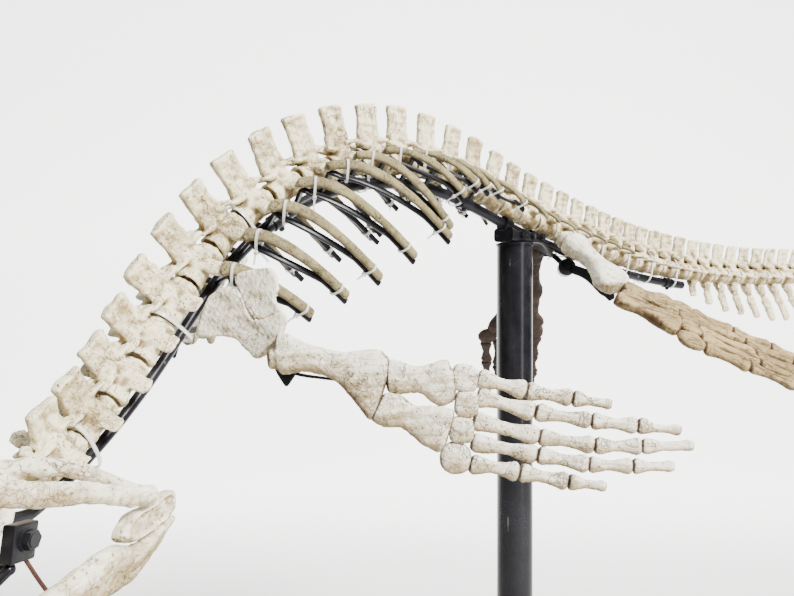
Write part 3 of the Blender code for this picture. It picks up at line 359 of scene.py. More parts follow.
def steel_finish(name, colour, along=(1, 1, 1), gloss=0.20):
    """Black satin paint with scuffs, dust and fine scratches."""
    f = Finish(name)
    where = f.where()
    cloud = f.noise(where, 16.0, 5.0, 0.6)
    speck = f.noise(where, 220.0, 3.0, 0.6)
    scratch = f.noise(f.stretch(where, along), 90.0, 2.0, 0.5).rise(0.66, 0.72) * cloud.rise(0.52, 0.66)
    dust = f.facing_up().rise(0.35, 1.0) * cloud.rise(0.30, 0.75)
    base = f.mix(cloud.rise(0.35, 0.75), solid(colour), solid(tuple(c * 1.8 + 0.003 for c in colour)))
    base = f.mix(dust * 0.10, base, (0.32, 0.30, 0.27, 1))
    base = f.mix(scratch * 0.55, base, (0.22, 0.21, 0.20, 1))
    f.set(Base_Color=base, Roughness=gloss + 0.14 * cloud + 0.06 * speck + 0.20 * dust)
    f.shader.inputs["Specular IOR Level"].default_value = 0.22
    f.bump(cloud * 0.3 + speck * 0.25 - scratch * 0.5, 0.14, 0.0008)
    return f.material


def tooth_finish(name, light, root):
    """Enamel that darkens to the root, with fine ridges down it."""
    f = Finish(name)
    grain = f.attribute("grain", "Vector")
    height = f.part(grain, "X")
    ridge = f.noise(f.stretch(grain, (40, 1500, 1500)), 1.0, 2.0)
    cloud = f.noise(f.where(), 90.0, 4.0)
    colour = f.mix((height * 60 + cloud * 0.5).rise(0.15, 1.1), solid(root), solid(light))
    colour = f.mix(ridge.rise(0.5, 0.75) * 0.3, colour, solid(root))
    f.set(Base_Color=colour, Roughness=0.28 + 0.2 * cloud)
    f.bump(ridge * 0.6 + cloud * 0.2, 0.3, 0.0006)
    return f.material


def tie_finish(name, colour):
    """Clear nylon."""
    f = Finish(name)
    cloud = f.noise(f.where(), 260.0, 2.0)
    base = f.mix(cloud.rise(0.3, 0.8), solid(colour), solid(tuple(c * 0.82 for c in colour)))
    f.set(Base_Color=base, Roughness=0.22 + 0.2 * cloud)
    f.shader.inputs["Alpha"].default_value = 0.72
    f.shader.inputs["Specular IOR Level"].default_value = 0.6
    return f.material


def floor_finish(name, colour):
    """Pale and matt, with a glow that grows towards the backdrop."""
    f = Finish(name)
    cloud = f.noise(f.where(), 2.0, 4.0)
    base = f.mix(cloud, solid(colour), solid(tuple(c * 0.985 for c in colour)))
    where = f.where()
    height, depth = f.part(where, "Z"), f.part(where, "Y")
    aside = f.node("ShaderNodeMath", {"operation": "ABSOLUTE"}, {0: f.part(where, "X")})
    lit = depth.rise(0.6, 3.4) * (1 - aside.rise(5.0, 7.0)) * (1 - height.rise(4.8, 6.5))
    glow = f.mix(lit, (0.05, 0.05, 0.05, 1.0), (1.0, 1.0, 0.99, 1.0))
    f.set(Base_Color=base, Roughness=0.75 + 0.1 * cloud, Emission_Color=glow)
    f.shader.inputs["Emission Strength"].default_value = 3.4
    return f.material


# Painted shade: the deepest shade, in the hollows of the far hind paddle.
FAR_BONE_HOLLOW_SHADE = (0.030, 0.016, 0.010)  # in the hollows of the far hind paddle
FINISHES = {}


def finish_of(kind):
    """Each finish is made once."""
    bones, mount = bpy.context.scene.mosasaur_bones, bpy.context.scene.mosasaur_mount
    light, shade, stain = tuple(bones.light), tuple(bones.shade), tuple(bones.stain)
    white = tuple(min(c * 0.72 + 0.265, 0.93) for c in light)
    tan = tuple(0.10 * a + 1.15 * b for a, b in zip(light, shade))
    brown = tuple(0.12 * a + 0.62 * b for a, b in zip(shade, stain))
    chalk = tuple(min(c * 0.60 + 0.375, 0.93) for c in light)
    olive, dark = tuple(bones.rib), tuple(bones.dark)
    deep_olive = tuple(c * 0.34 for c in olive)
    deeper_shaded_far_bone = tuple(c * 0.5 for c in dark)
    makers = {
        "bone": lambda: bone_finish("bone", light, shade, stain, 0.60, 0.50, low=0.14),
        "neck_bone": lambda: bone_finish("neck_bone", light, shade, stain, 0.60, 0.50, low=0.18),
        "rib_bone": lambda: bone_finish("rib_bone", olive, deep_olive, stain, 0.75, 0.52),
        "skull_bone": lambda: bone_finish("skull_bone", white, shade, stain, 0.50, 0.50, low=0.22),
        "plate_bone": lambda: bone_finish("plate_bone", chalk, shade, stain, 0.22, 0.38, 0.40),
        "paddle_bone": lambda: bone_finish("paddle_bone", chalk, shade, stain, 0.60, 0.42, 0.45, low=0.16),
        "striped_bone": lambda: bone_finish("striped_bone", tan, brown, stain, 1.40, 0.60),
        # The far hind paddle: brown bone with painted shade.
        "dark_bone": lambda: bone_finish("dark_bone", dark, deeper_shaded_far_bone, FAR_BONE_HOLLOW_SHADE, 0.6, 0.5),
        "tooth": lambda: tooth_finish("tooth", (0.62, 0.52, 0.36), (0.22, 0.14, 0.08)),
        "steel": lambda: steel_finish("black_steel", tuple(mount.steel), (1, 1, 1)),
        "pole_steel": lambda: steel_finish("pole_steel", tuple(mount.steel), (1.6, 1.6, 0.10), 0.15),
        "rusty_wire": lambda: steel_finish("rusty_wire", (0.055, 0.022, 0.014), (1, 1, 1), 0.45),
        "bare_steel": lambda: steel_finish("bolt_steel", (0.10, 0.10, 0.105), (1, 1, 1), 0.3),
        "tie": lambda: tie_finish("clear_nylon", tuple(mount.tie)),
    }
    if kind not in FINISHES:
        FINISHES[kind] = makers[kind]()
    return FINISHES[kind]


# ================================================================ shapes
ALONG_Z = Matrix.Rotation(math.pi / 2, 4, "Y")  # the grain of a bone whose length is its own z axis


def spacing(fine):
    return fine * 1.0


def through(p0, p1, p2, p3, f):
    """The smooth curve from p1 to p2, f from 0 to 1, that heads for the points beside them."""
    slope, bend, twist = p2 - p0, 2 * p0 - 5 * p1 + 4 * p2 - p3, 3 * p1 - p0 - 3 * p2 + p3
    return 0.5 * (2 * p1 + slope * f + bend * f**2 + twist * f**3)


def solid_through(rings, bm=None):
    """Draw the first ring as a face and extrude it through the others, closed at both ends."""
    bm = bm or bmesh.new()
    corners = [bm.verts.new(point) for point in rings[0]]
    face = bm.faces.new(corners)
    start = corners
    for ring in rings[1:]:
        order = list(face.verts)
        face = bmesh.ops.extrude_discrete_faces(bm, faces=[face])["faces"][0]
        new = list(face.verts)
        corners = [new[order.index(corner)] for corner in corners]
        for vert, point in zip(corners, ring):
            vert.co = point
    bm.faces.new(start)
    return bm


def oval(centre, wide, tall, power=2.0, sides=14):
    """A ring of points. Wide and tall are its half sizes as vectors, and a higher power squares it."""
    ring = []
    for k in range(sides):
        turn = math.tau * (k + 0.5) / sides
        c, s = math.cos(turn), math.sin(turn)
        c = math.copysign(abs(c) ** (2 / power), c)
        s = math.copysign(abs(s) ** (2 / power), s)
        ring.append(centre + wide * c + tall * s)
    return ring


def read(values, t):
    """A value read smoothly from an even row of them, t from 0 to 1."""
    last = len(values) - 1
    k = min(int(t * last), last - 1)
    f = t * last - k
    p1, p2 = values[k], values[k + 1]
    p0 = values[k - 1] if k else 2 * p1 - p2
    p3 = values[k + 2] if k + 2 <= last else 2 * p2 - p1
    return through(p0, p1, p2, p3, f)


def limb(path, breadths, thicknesses, breadth_way, steps=12, power=2.2, sides=12, bm=None, ends=0.55):
    """A closed bar along a smooth path, its sizes read along it, and its two ends rounded in."""
    points = [Vector(p) for p in path]
    breadth_way = Vector(breadth_way)
    rings = []
    marks = [0.0, *[(k + 0.5) / steps for k in range(steps)], 1.0]
    for n, t in enumerate(marks):
        centre = read(points, t)
        ahead = (read(points, min(t + 0.01, 1)) - read(points, max(t - 0.01, 0))).normalized()
        wide = (breadth_way - ahead * breadth_way.dot(ahead)).normalized()
        thick = ahead.cross(wide)
        grow = ends if n in (0, len(marks) - 1) else 1.0
        breadth, thickness = read(breadths, t) * grow, read(thicknesses, t) * grow
        rings.append(oval(centre, wide * breadth / 2, thick * thickness / 2, power, sides))
    return solid_through(rings, bm)


def lump(centre, sizes, bm, turn=None):
    """A rounded knob of bone."""
    matrix = Matrix.Translation(centre) @ (turn or Matrix()) @ Matrix.Diagonal((*sizes, 1))
    bmesh.ops.create_icosphere(bm, subdivisions=2, radius=1.0, matrix=matrix)


WAVES = np.random.default_rng(7)
WAVE_WAYS = WAVES.normal(size=(18, 3))
WAVE_WAYS /= np.linalg.norm(WAVE_WAYS, axis=1)[:, None]
WAVE_LENGTHS = np.concatenate([WAVES.uniform(0.010, 0.034, 10), WAVES.uniform(0.004, 0.009, 8)])
WAVE_STARTS = WAVES.uniform(0, math.tau, 18)


def unevenness(points):
    """A smooth random field over the room, about -1 to 1."""
    total = np.zeros(len(points))
    for way, length, start in zip(WAVE_WAYS, WAVE_LENGTHS, WAVE_STARTS):
        total += (length / 0.030) ** 0.8 * np.sin(points @ way * math.tau / length + start)
    return total / 2.4


def bake(bm, voxel=None, soften=2, cuts=None):
    """The bmesh as a plain mesh. With a voxel its overlapping lumps are fused and softened first."""
    bmesh.ops.recalc_face_normals(bm, faces=bm.faces)
    mesh = bpy.data.meshes.new("shaping")
    bm.to_mesh(mesh)
    bm.free()
    if voxel is None:
        return mesh
    obj = bpy.data.objects.new("shaping", mesh)
    bpy.context.scene.collection.objects.link(obj)
    if cuts is not None:
        tool = bpy.data.objects.new("cuts", bake(cuts))
        bpy.context.scene.collection.objects.link(tool)
        fused = obj.modifiers.new("fuse_first", "REMESH")
        fused.mode, fused.voxel_size = "VOXEL", voxel
        cut = obj.modifiers.new("cut", "BOOLEAN")
        cut.operation, cut.solver, cut.object = "DIFFERENCE", "EXACT", tool
    fuse = obj.modifiers.new("fuse", "REMESH")
    fuse.mode, fuse.voxel_size = "VOXEL", voxel
    if soften:
        soft = obj.modifiers.new("soften", "SMOOTH")
        soft.factor, soft.iterations = 0.5, soften
    graph = bpy.context.evaluated_depsgraph_get()
    baked = bpy.data.meshes.new_from_object(obj.evaluated_get(graph))
    bpy.data.objects.remove(obj)
    if cuts is not None:
        bpy.data.objects.remove(tool)
    return baked


def store(mesh, name, values, kind="FLOAT"):
    """Keep a value for each point of a mesh, where its finish finds it."""
    key = "value" if kind == "FLOAT" else "vector"
    mesh.attributes.new(name, kind, "POINT").data.foreach_set(key, values.astype(np.float32).ravel())


class Bones:
    """Gathers finished bones into one piece, and keeps for each point its place along its own bone."""

    def __init__(self, name):
        self.name = name
        self.bm = bmesh.new()
        self.count = 0

    def add(self, mesh, matrix=None, grain=None, seams=0.0):
        """Add a bone, shaped in its own axes, with x along its grain, and how brown its ends are: joint
        stain, and painted shade between neighbouring bones.
        """
        n = len(mesh.vertices)
        local = np.empty(n * 3, np.float32)
        mesh.vertices.foreach_get("co", local)
        points = local.reshape(-1, 3)
        points = grain(points) if callable(grain) else points @ np.array((grain or Matrix()).to_3x3()).T
        self.count += 1
        tone = (math.sin(self.count * 12.9898) * 43758.5453) % 1.0
        points = points + np.array([0.0, self.count * 0.37, self.count * 0.11])
        store(mesh, "grain", points, "FLOAT_VECTOR")
        store(mesh, "tone", np.full(n, tone))
        normals = np.empty(n * 3, np.float32)
        mesh.vertex_normals.foreach_get("vector", normals)
        # The ends' brown: joint stain, and painted shade between bones.
        seam = np.clip((np.abs(normals[::3]) - 0.22) / 0.45, 0, 1) * seams
        store(mesh, "seam", seam)
        if matrix is not None:
            mesh.transform(matrix)
            if matrix.determinant() < 0:
                mesh.flip_normals()
        self.bm.from_mesh(mesh)
        bpy.data.meshes.remove(mesh)

    def finish(self, kind, slot, nodes, roughen=0.0004, depth=0.0011, passes=6):
        """The gathered bones as one object that stands for these solids."""
        mesh = bpy.data.meshes.new(self.name)
        self.bm.to_mesh(mesh)
        self.bm.free()
        n = len(mesh.vertices)
        co, normal = np.empty(n * 3), np.empty(n * 3)
        mesh.vertices.foreach_get("co", co)
        mesh.vertex_normals.foreach_get("vector", normal)
        co, normal = co.reshape(-1, 3), normal.reshape(-1, 3)
        co = co + normal * (unevenness(co) * roughen)[:, None]
        mesh.vertices.foreach_set("co", co.ravel())
        edges = np.empty(len(mesh.edges) * 2, np.int64)
        mesh.edges.foreach_get("vertices", edges)
        a, b = edges.reshape(-1, 2).T
        links = np.maximum(np.bincount(a, minlength=n) + np.bincount(b, minlength=n), 1)
        # The hollow measure: how far each point lies below its smoothed neighbours. The finishes paint shade
        # and stain into it.
        soft = co.copy()
        for _ in range(passes):
            near = [np.bincount(a, soft[b, k], n) + np.bincount(b, soft[a, k], n) for k in range(3)]
            near = np.stack(near, 1)
            soft = 0.5 * soft + 0.5 * near / links[:, None]
        hollow = np.clip(((soft - co) * normal).sum(1) / depth, -1.5, 1.5)
        for _ in range(2):
            near = np.bincount(a, hollow[b], n) + np.bincount(b, hollow[a], n)
            hollow = 0.5 * hollow + 0.5 * near / links
        store(mesh, "hollow", hollow)
        mesh.update()
        mesh.shade_smooth()
        obj = bpy.data.objects.new(self.name, mesh)
        return settle(obj, kind, nodes)


def settle(obj, kind, nodes=()):
    """Give a finished piece its finish and its place in the model."""
    if obj.name not in bpy.context.scene.collection.objects:
        bpy.context.scene.collection.objects.link(obj)
    obj.data.materials.clear()
    obj.data.materials.append(finish_of(kind))
    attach(obj, "root")
    if nodes:
        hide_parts(*nodes)
    return obj


def steel_piece(name, bm, nodes=(), kind="steel", bevel=0.0, smooth=40):
    """A steel piece, its edges eased and its round faces shaded smooth."""
    if bevel:
        sharp = [e for e in bm.edges if len(e.link_faces) == 2 and e.calc_face_angle(0) > math.radians(35)]
        bmesh.ops.bevel(
            bm, geom=sharp, offset=bevel, segments=2, profile=0.5, affect="EDGES", material=-1,
            clamp_overlap=True,
        )
    mesh = bake(bm)
    mesh.name = name
    mesh.shade_smooth()
    mesh.set_sharp_from_angle(angle=math.radians(smooth))
    return settle(bpy.data.objects.new(name, mesh), kind, nodes)


# ================================================================ the backbone's course
def heading(knots, s):
    """The yaw or pitch of the backbone s metres from the skull."""
    t = min(max(s / HEADING_STEP, 0), len(knots) - 1 - 1e-9)
    k = int(t)
    f = t - k
    ends = [2 * knots[0] - knots[1], *knots, 2 * knots[-1] - knots[-2]]
    return math.radians(through(*ends[k : k + 4], f))


def back_way(s):
    """The way towards the tail, s metres from the skull."""
    yaw, pitch = heading(YAW, s), heading(PITCH, s)
    return Vector((math.cos(pitch) * math.cos(yaw), math.cos(pitch) * math.sin(yaw), math.sin(pitch)))


LENGTHS = np.interp(range(COUNT), LENGTH_AT, LENGTH)
STARTS = np.concatenate([[0], np.cumsum(LENGTHS)])
COURSE = [NAPE]
for step in range(int(STARTS[-1] / WALK) + 4):
    COURSE.append(COURSE[-1] + back_way((step + 0.5) * WALK) * WALK)


def frame_of(x, y, z, point):
    """Axes from three directions and a point."""
    return Matrix([[x[i], y[i], z[i], point[i]] for i in range(3)] + [[0, 0, 0, 1]])


def place(s):
    """The backbone's axes at s metres from the skull: columns back, left, up and the point."""
    k = min(max(int(s / WALK), 0), len(COURSE) - 2)
    point = COURSE[k].lerp(COURSE[k + 1], s / WALK - k)
    yaw, pitch = heading(YAW, s), heading(PITCH, s)
    left = Vector((math.sin(yaw), -math.cos(yaw), 0))
    up = Vector((-math.sin(pitch) * math.cos(yaw), -math.sin(pitch) * math.sin(yaw), math.cos(pitch)))
    return frame_of(back_way(s), left, up, point)


def vertebra_frame(index):
    """The backbone's axes at the middle of a vertebra."""
    return place((STARTS[index] + STARTS[index + 1]) / 2)


def at(axes, back, left, up):
    """A point given in some axes, in the room."""
    return axes @ Vector((back, left, up))


def size(index, knots, values):
    """A size at a vertebra, read from a row of them."""
    return float(np.interp(index, knots, values))


# ================================================================ vertebrae
# Down the body of a vertebra: place along its length, and radius, as shares. Cup, rim, waist, rim and ball.
BODY_PROFILE = (
    (-0.36, 0.30), (-0.42, 0.62), (-0.475, 0.84), (-0.485, 0.95), (-0.45, 1.02), (-0.36, 0.98), (-0.15, 0.87),
    (0.08, 0.85), (0.25, 0.92), (0.36, 1.01), (0.415, 0.97), (0.43, 0.86), (0.475, 0.66), (0.505, 0.36),
)

# Up the arch: height in radii of the body, and width and length as shares.
ARCH_PROFILE = (
    (0.45, 0.95, 0.30), (0.95, 0.80, 0.29), (1.35, 0.66, 0.30), (1.70, 0.42, 0.30), (1.95, 0.24, 0.27),
)
# Up the spine: height, length and thickness as shares.
SPINE_PROFILE = (
    (0.00, 1.16, 1.6), (0.14, 1.04, 1.2), (0.36, 1.00, 1.00), (0.68, 0.98, 0.95), (0.86, 1.01, 1.05),
    (0.955, 1.01, 1.20), (0.99, 0.95, 1.0), (1.005, 0.80, 0.60),
)


def body_lumps(bm, length, radius, index):
    """The spool-shaped body."""
    widen, heighten = (0.86, 1.04) if index >= 40 else (1.0, 0.94)
    rings = []
    for share, grow in BODY_PROFILE:
        wide, tall = radius * grow * widen, radius * grow * heighten
        centre = Vector((share * length, 0, -0.06 * radius))
        rings.append(oval(centre, Vector((0, wide, 0)), Vector((0, 0, tall)), 2.2, 16))
    solid_through(rings, bm)


def arch_lumps(bm, length, radius, index):
    """The arch over the cord, and the four facets it meets its neighbours with."""
    tail = min(max((index - 26) / 14, 0), 1)
    wide = radius * (0.86 - 0.25 * tail)
    rings = []
    for up, width, along in ARCH_PROFILE:
        centre = Vector((0.01 * length, 0, up * radius))
        rings.append(oval(centre, Vector((along * length, 0, 0)), Vector((0, width * wide, 0)), 2.8, 14))
    solid_through(rings, bm)
    if index < 1:
        return
    reach = 0.60 - 0.18 * tail
    for side in (1, -1):
        front = (
            (-0.12 * length, 0.42 * wide * side, 1.15 * radius),
            (-0.38 * length, 0.66 * wide * side, 1.20 * radius),
            (-reach * length, 0.72 * wide * side, 1.34 * radius),
        )
        hind = (
            (0.12 * length, 0.34 * wide * side, 1.50 * radius),
            (0.36 * length, 0.52 * wide * side, 1.58 * radius),
            ((reach - 0.06) * length, 0.58 * wide * side, 1.54 * radius),
        )
        broad = radius * (0.68 - 0.20 * tail)
        depths = (broad * 0.8, broad * 0.6, broad * 0.42)
        limb(front, (broad, broad * 1.1, broad * 1.15), depths, (0, 1, 0), 5, 2.2, 10, bm, 0.7)
        depths = (broad * 0.8, broad * 0.6, broad * 0.4)
        limb(hind, (broad, broad, broad * 0.9), depths, (0, 1, 0), 5, 2.2, 10, bm, 0.7)


def spine_lumps(bm, radius, index):
    """The blade on top."""
    along, lean = size(index, SPINE_LENGTH_AT, SPINE_LENGTH), size(index, SPINE_LEAN_AT, SPINE_LEAN)
    top = size(index, SPINE_AT, SPINE_TOP)
    thick = radius * (0.60 if index < 31 else 0.40)
    base = 1.35 * radius
    rings = []
    wobble = 0.10 * math.sin(index * 2.3)
    along *= 1.14 - 0.14 * min(max((index - 24) / 8, 0), 1)
    for share, grow, swell in SPINE_PROFILE:
        centre = Vector((lean * share * share + wobble * along * share * 0.4, 0, base + (top - base) * share))
        rings.append(
            oval(centre, Vector((along * 0.5 * grow, 0, 0)), Vector((0, thick * 0.5 * swell, 0)), 4.5, 20)
        )
    solid_through(rings, bm)


def wing_lumps(bm, length, radius, index):
    """The transverse processes: short ones for ribs in the trunk, long flat ones behind it."""
    reach, up = size(index, WING_AT, WING_REACH), size(index, WING_AT, WING_UP)
    ribbed = FIRST_RIB <= index < NECK + TRUNK
    reach = reach - 0.002 if ribbed else reach
    shrink = 1.0 if index < 40 else (WING_LAST - index) / 8
    if reach * shrink < radius * 1.05:
        return
    reach *= shrink
    for side in (1, -1):
        if index < FIRST_RIB and side < 0:
            reach, up = reach * 1.30, up + 0.030
        path = (
            (0, 0.35 * radius * side, 0.25 * radius),
            (0, 0.85 * radius * side, 0.22 * radius + up * 0.3),
            (0, reach * 0.8 * side, up * 0.9),
            (0, reach * side, up),
        )
        if ribbed:
            breadths = (length * 0.42, length * 0.36, length * 0.34, length * 0.36)
            depths = (radius * 0.85, radius * 0.66, radius * 0.56, radius * 0.60)
        else:
            breadths = (length * 0.46, length * 0.40, length * 0.40, length * 0.34)
            depths = (radius * 0.60, radius * 0.38, radius * 0.26, radius * 0.20)
        limb(path, breadths, depths, (1, 0, 0), 6, 2.2, 12, bm, 0.7)


def haemal_lumps(bm, length, radius, index):
    """The forked bone under a vertebra of the tail."""
    drop, back = size(index, HAEMAL_AT, HAEMAL_DROP), size(index, HAEMAL_AT, HAEMAL_BACK)
    broad = length * 0.58
    fork = 0.34
    middle = (0.12 * length + back * fork, 0, -radius - drop * fork)
    for side in (1, -1):
        top = (0.20 * length, 0.42 * radius * side, -0.80 * radius)
        bend = (0.16 * length + back * fork * 0.5, 0.34 * radius * side, -radius - drop * fork * 0.45)
        breadths = (broad * 0.8, broad * 0.65, broad * 0.8)
        limb((top, bend, middle), breadths, (radius * 0.30,) * 3, (1, 0, 0), 5, 2.0, 8, bm, 0.8)
    tip = (back, 0, -radius - drop)
    near = (0.1 * length + back * 0.7, 0, -radius - drop * 0.68)
    breadths = (broad * 0.95, broad * 0.85, broad * 0.95)
    depths = (radius * 0.56, radius * 0.46, radius * 0.38)
    limb((middle, near, tip), breadths, depths, (1, 0, 0), 6, 2.6, 10, bm, 0.6)


def vertebra_mesh(index, voxel):
    """One vertebra, fused and softened, in its own axes."""
    bm = bmesh.new()
    length, radius = LENGTHS[index], size(index, BODY_AT, BODY_RADIUS)
    body_lumps(bm, length, radius, index)
    arch_lumps(bm, length, radius, index)
    spine_lumps(bm, radius, index)
    if 1 <= index < WING_LAST:
        wing_lumps(bm, length, radius, index)
    if HAEMAL_AT[0] <= index < HAEMAL_LAST:
        haemal_lumps(bm, length, radius, index)
    if 1 <= index < 6:
        lump(Vector((0.24 * length, 0, -1.02 * radius)), (0.010, 0.007, 0.009), bm)
    return bake(bm, voxel, 2)


def build_vertebrae(name, first, last, kind, nodes):
    """A run of vertebrae as one piece. Those of the tail are finer, and their grain runs along it."""
    bones = Bones(name)
    fine = spacing(bpy.context.scene.mosasaur_bones.fineness)
    for index in range(first, last):
        axes = vertebra_frame(index)
        if index >= FIRST_CAUDAL:
            voxel = max(LEAST_SPACING, spacing(size(index, BODY_AT, BODY_RADIUS) * TAIL_SPACING))
        elif index:
            voxel = fine
        else:
            voxel = fine * 0.8
            axes = axes @ Matrix.Translation((0.004, 0, 0)) @ Matrix.Diagonal((0.62, 1, 1, 1))
        bones.add(vertebra_mesh(index, voxel), axes, ALONG_Z if index < FIRST_CAUDAL else None)
    scale = 1.0 if first < 40 else 0.5
    bones.finish(kind, "bone", nodes, 0.0010 * scale, 0.0022 * scale, 22)


# ================================================================ ribs
def rib_point(index, side, t, inset=0.0):
    """A point down a rib, in the vertebra's axes, moved in from its middle line by inset."""
    out, up = size(index, WING_AT, WING_REACH), size(index, WING_AT, WING_UP)
    back, drop, wide = (size(index, RIB_AT, values) for values in (RIB_BACK, RIB_DROP, RIB_OUT))
    drop *= 1 if side > 0 else RIGHT_DROP
    turn = t * math.pi / 2
    across, down = wide * math.sin(turn), drop * (1 - math.cos(turn))
    slope = Vector((0, wide * math.cos(turn), -drop * math.sin(turn))).normalized()
    across -= inset * -slope.z
    down += inset * slope.y
    return Vector((back * t, (out + across) * side, up - down))


def rib_mesh(index, side):
    """A rib in its vertebra's axes: a flared head, a flattened shaft and a blunt tip."""
    long = index <= LAST_LONG_RIB
    steps = 30 if long else 12
    rings = []
    marks = [0.0, 0.006, *[(k + 0.5) / steps for k in range(steps)], 0.992, 1.0]
    for n, t in enumerate(marks):
        centre = rib_point(index, side, t)
        before, after = rib_point(index, side, max(t - 0.02, 0)), rib_point(index, side, min(t + 0.02, 1))
        ahead = (after - before).normalized()
        broad = Vector((1, 0, 0))
        broad = (broad - ahead * broad.dot(ahead)).normalized()
        thick = ahead.cross(broad)
        flare = 0.0050 * math.exp(-((t / 0.10) ** 2))
        breadth = 0.0212 - 0.0085 * t + flare + 0.0022 * math.exp(-(((1 - t) / 0.12) ** 2))
        thickness = 0.0118 - 0.0040 * t + 0.0030 * math.exp(-((t / 0.08) ** 2))
        if not long:
            breadth, thickness = breadth * 0.62, thickness * 0.7
        grow = {0: 0.60, 1: 0.88, len(marks) - 2: 0.9, len(marks) - 1: 0.62}.get(n, 1.0)
        rings.append(oval(centre, broad * breadth * grow / 2, thick * thickness * grow / 2, 2.3, 14))
    return bake(solid_through(rings))


def build_ribs():
    """The ribs of each side, as one piece a side."""
    for side, name in ((1, "left"), (-1, "right")):
        bones = Bones(f"ribs_{name}")
        for index in range(FIRST_RIB, NECK + TRUNK):
            bones.add(rib_mesh(index, side), vertebra_frame(index), ALONG_Z)
        bones.finish("rib_bone", "bone", (), 0.00035, 0.0016, 4)


# ================================================================ skull
SKULL_FORWARD = Vector(
    (
        -math.cos(SKULL_YAW) * math.cos(SKULL_PITCH),
        -math.sin(SKULL_YAW) * math.cos(SKULL_PITCH),
        math.sin(SKULL_PITCH),
    )
)
SKULL_LEFT = Vector((math.sin(SKULL_YAW), -math.cos(SKULL_YAW), 0))
SKULL = frame_of(SKULL_FORWARD, SKULL_LEFT, SKULL_FORWARD.cross(SKULL_LEFT), NAPE)

# (forward, half width, top, bottom)
SNOUT = (
    (0.255, 0.062, 0.032, -0.024),
    (0.300, 0.056, 0.033, -0.026),
    (0.380, 0.045, 0.028, -0.024),
    (0.460, 0.035, 0.020, -0.021),
    (0.525, 0.026, 0.011, -0.018),
    (0.560, 0.012, 0.000, -0.014),
)
FRONTAL = (
    (0.130, 0.050, 0.036, 0.024),
    (0.180, 0.056, 0.035, 0.023),
    (0.235, 0.046, 0.034, 0.018),
    (0.290, 0.034, 0.033, 0.002),
)
PARIETAL = (
    (0.015, 0.017, 0.029, 0.012),
    (0.060, 0.014, 0.031, 0.013),
    (0.110, 0.016, 0.034, 0.016),
    (0.145, 0.034, 0.036, 0.020),
)
BRAINCASE = (
    (0.006, 0.017, 0.018, -0.016),
    (0.040, 0.027, 0.023, -0.016),
    (0.085, 0.025, 0.025, -0.016),
    (0.125, 0.012, 0.024, -0.008),
)
CONDYLE = ((0.0015, 0.009, 0.009, -0.009), (0.006, 0.013, 0.012, -0.012), (0.014, 0.014, 0.013, -0.013))
# The paired bones: a way of (forward, left, up), breadths and thicknesses.
SKULL_BARS = (
    (  # from the crest out and back to the head of the quadrate
        ((0.030, 0.008, 0.023), (0.012, 0.032, 0.023), (-0.006, 0.062, 0.017), (-0.026, 0.090, 0.002),
         (-0.043, 0.110, -0.006)),
        (0.017, 0.019, 0.016, 0.015, 0.014),
        (0.015, 0.013, 0.013, 0.014, 0.015),
    ),
    (  # the upper cheek bar
        ((-0.046, 0.112, -0.006), (0.000, 0.117, -0.003), (0.050, 0.114, 0.008), (0.100, 0.106, 0.013),
         (0.140, 0.097, 0.019), (0.168, 0.076, 0.028), (0.172, 0.040, 0.030)),
        (0.020, 0.019, 0.019, 0.021, 0.021, 0.018, 0.016),
        (0.014, 0.011, 0.010, 0.011, 0.013, 0.015, 0.017),
    ),
    (  # from the braincase to the quadrate
        ((0.022, 0.012, 0.001), (-0.013, 0.062, -0.004), (-0.036, 0.104, -0.007)),
        (0.013, 0.011, 0.013),
        (0.015, 0.010, 0.010),
    ),
    (  # behind and under the eye
        ((0.150, 0.093, 0.020), (0.155, 0.099, -0.004), (0.175, 0.096, -0.022), (0.220, 0.085, -0.026),
         (0.275, 0.058, -0.020)),
        (0.014, 0.013, 0.015, 0.014, 0.016),
        (0.016, 0.011, 0.010, 0.010, 0.013),
    ),
    (  # in front of the eye
        ((0.278, 0.048, 0.010), (0.238, 0.060, 0.018), (0.198, 0.042, 0.028)),
        (0.030, 0.022, 0.016),
        (0.020, 0.015, 0.012),
    ),
    (  # along the palate
        ((0.280, 0.026, -0.020), (0.200, 0.034, -0.031), (0.110, 0.038, -0.032), (0.060, 0.032, -0.022),
         (0.040, 0.022, -0.012)),
        (0.009, 0.010, 0.010, 0.009, 0.009),
        (0.018, 0.022, 0.020, 0.015, 0.010),
    ),
    (((0.190, 0.034, -0.030), (0.205, 0.086, -0.024)), (0.008, 0.008), (0.014, 0.012)),  # across it
)
QUADRATE = (
    (-0.015, -0.023),
    (-0.048, -0.018),
    (-0.085, -0.008),
    (-0.094, -0.016),
    (-0.091, -0.032),
    (-0.027, -0.048),
    (0.002, -0.040),
)
QUADRATE_FROM, QUADRATE_TO = 0.097, 0.114
# (forward, left, top, bottom, thickness)
JAW = (
    (-0.106, 0.103, -0.036, -0.047, 0.010),
    (-0.070, 0.104, -0.042, -0.068, 0.014),
    (-0.030, 0.104, -0.052, -0.087, 0.018),
    (0.010, 0.102, -0.0455, -0.092, 0.020),
    (0.060, 0.099, -0.059, -0.102, 0.018),
    (0.120, 0.091, -0.073, -0.119, 0.017),
    (0.165, 0.083, -0.068, -0.132, 0.016),
    (0.215, 0.074, -0.099, -0.144, 0.016),
    (0.330, 0.051, -0.130, -0.173, 0.016),
    (0.450, 0.027, -0.162, -0.198, 0.015),
    (0.525, 0.0125, -0.182, -0.208, 0.012),
)
JAW_GROOVE = ((0.060, 0.1105, -0.084), (0.140, 0.0975, -0.106), (0.215, 0.084, -0.126))
JAW_SEAM = (
    (-0.088, 0.1105, -0.052),
    (-0.040, 0.1130, -0.072),
    (0.000, 0.1140, -0.078),
    (0.045, 0.1110, -0.084),
)
TOOTH_RADIUS, TOOTH_LENGTH = 0.0050, 0.018
TEETH = 13  # in each half jaw
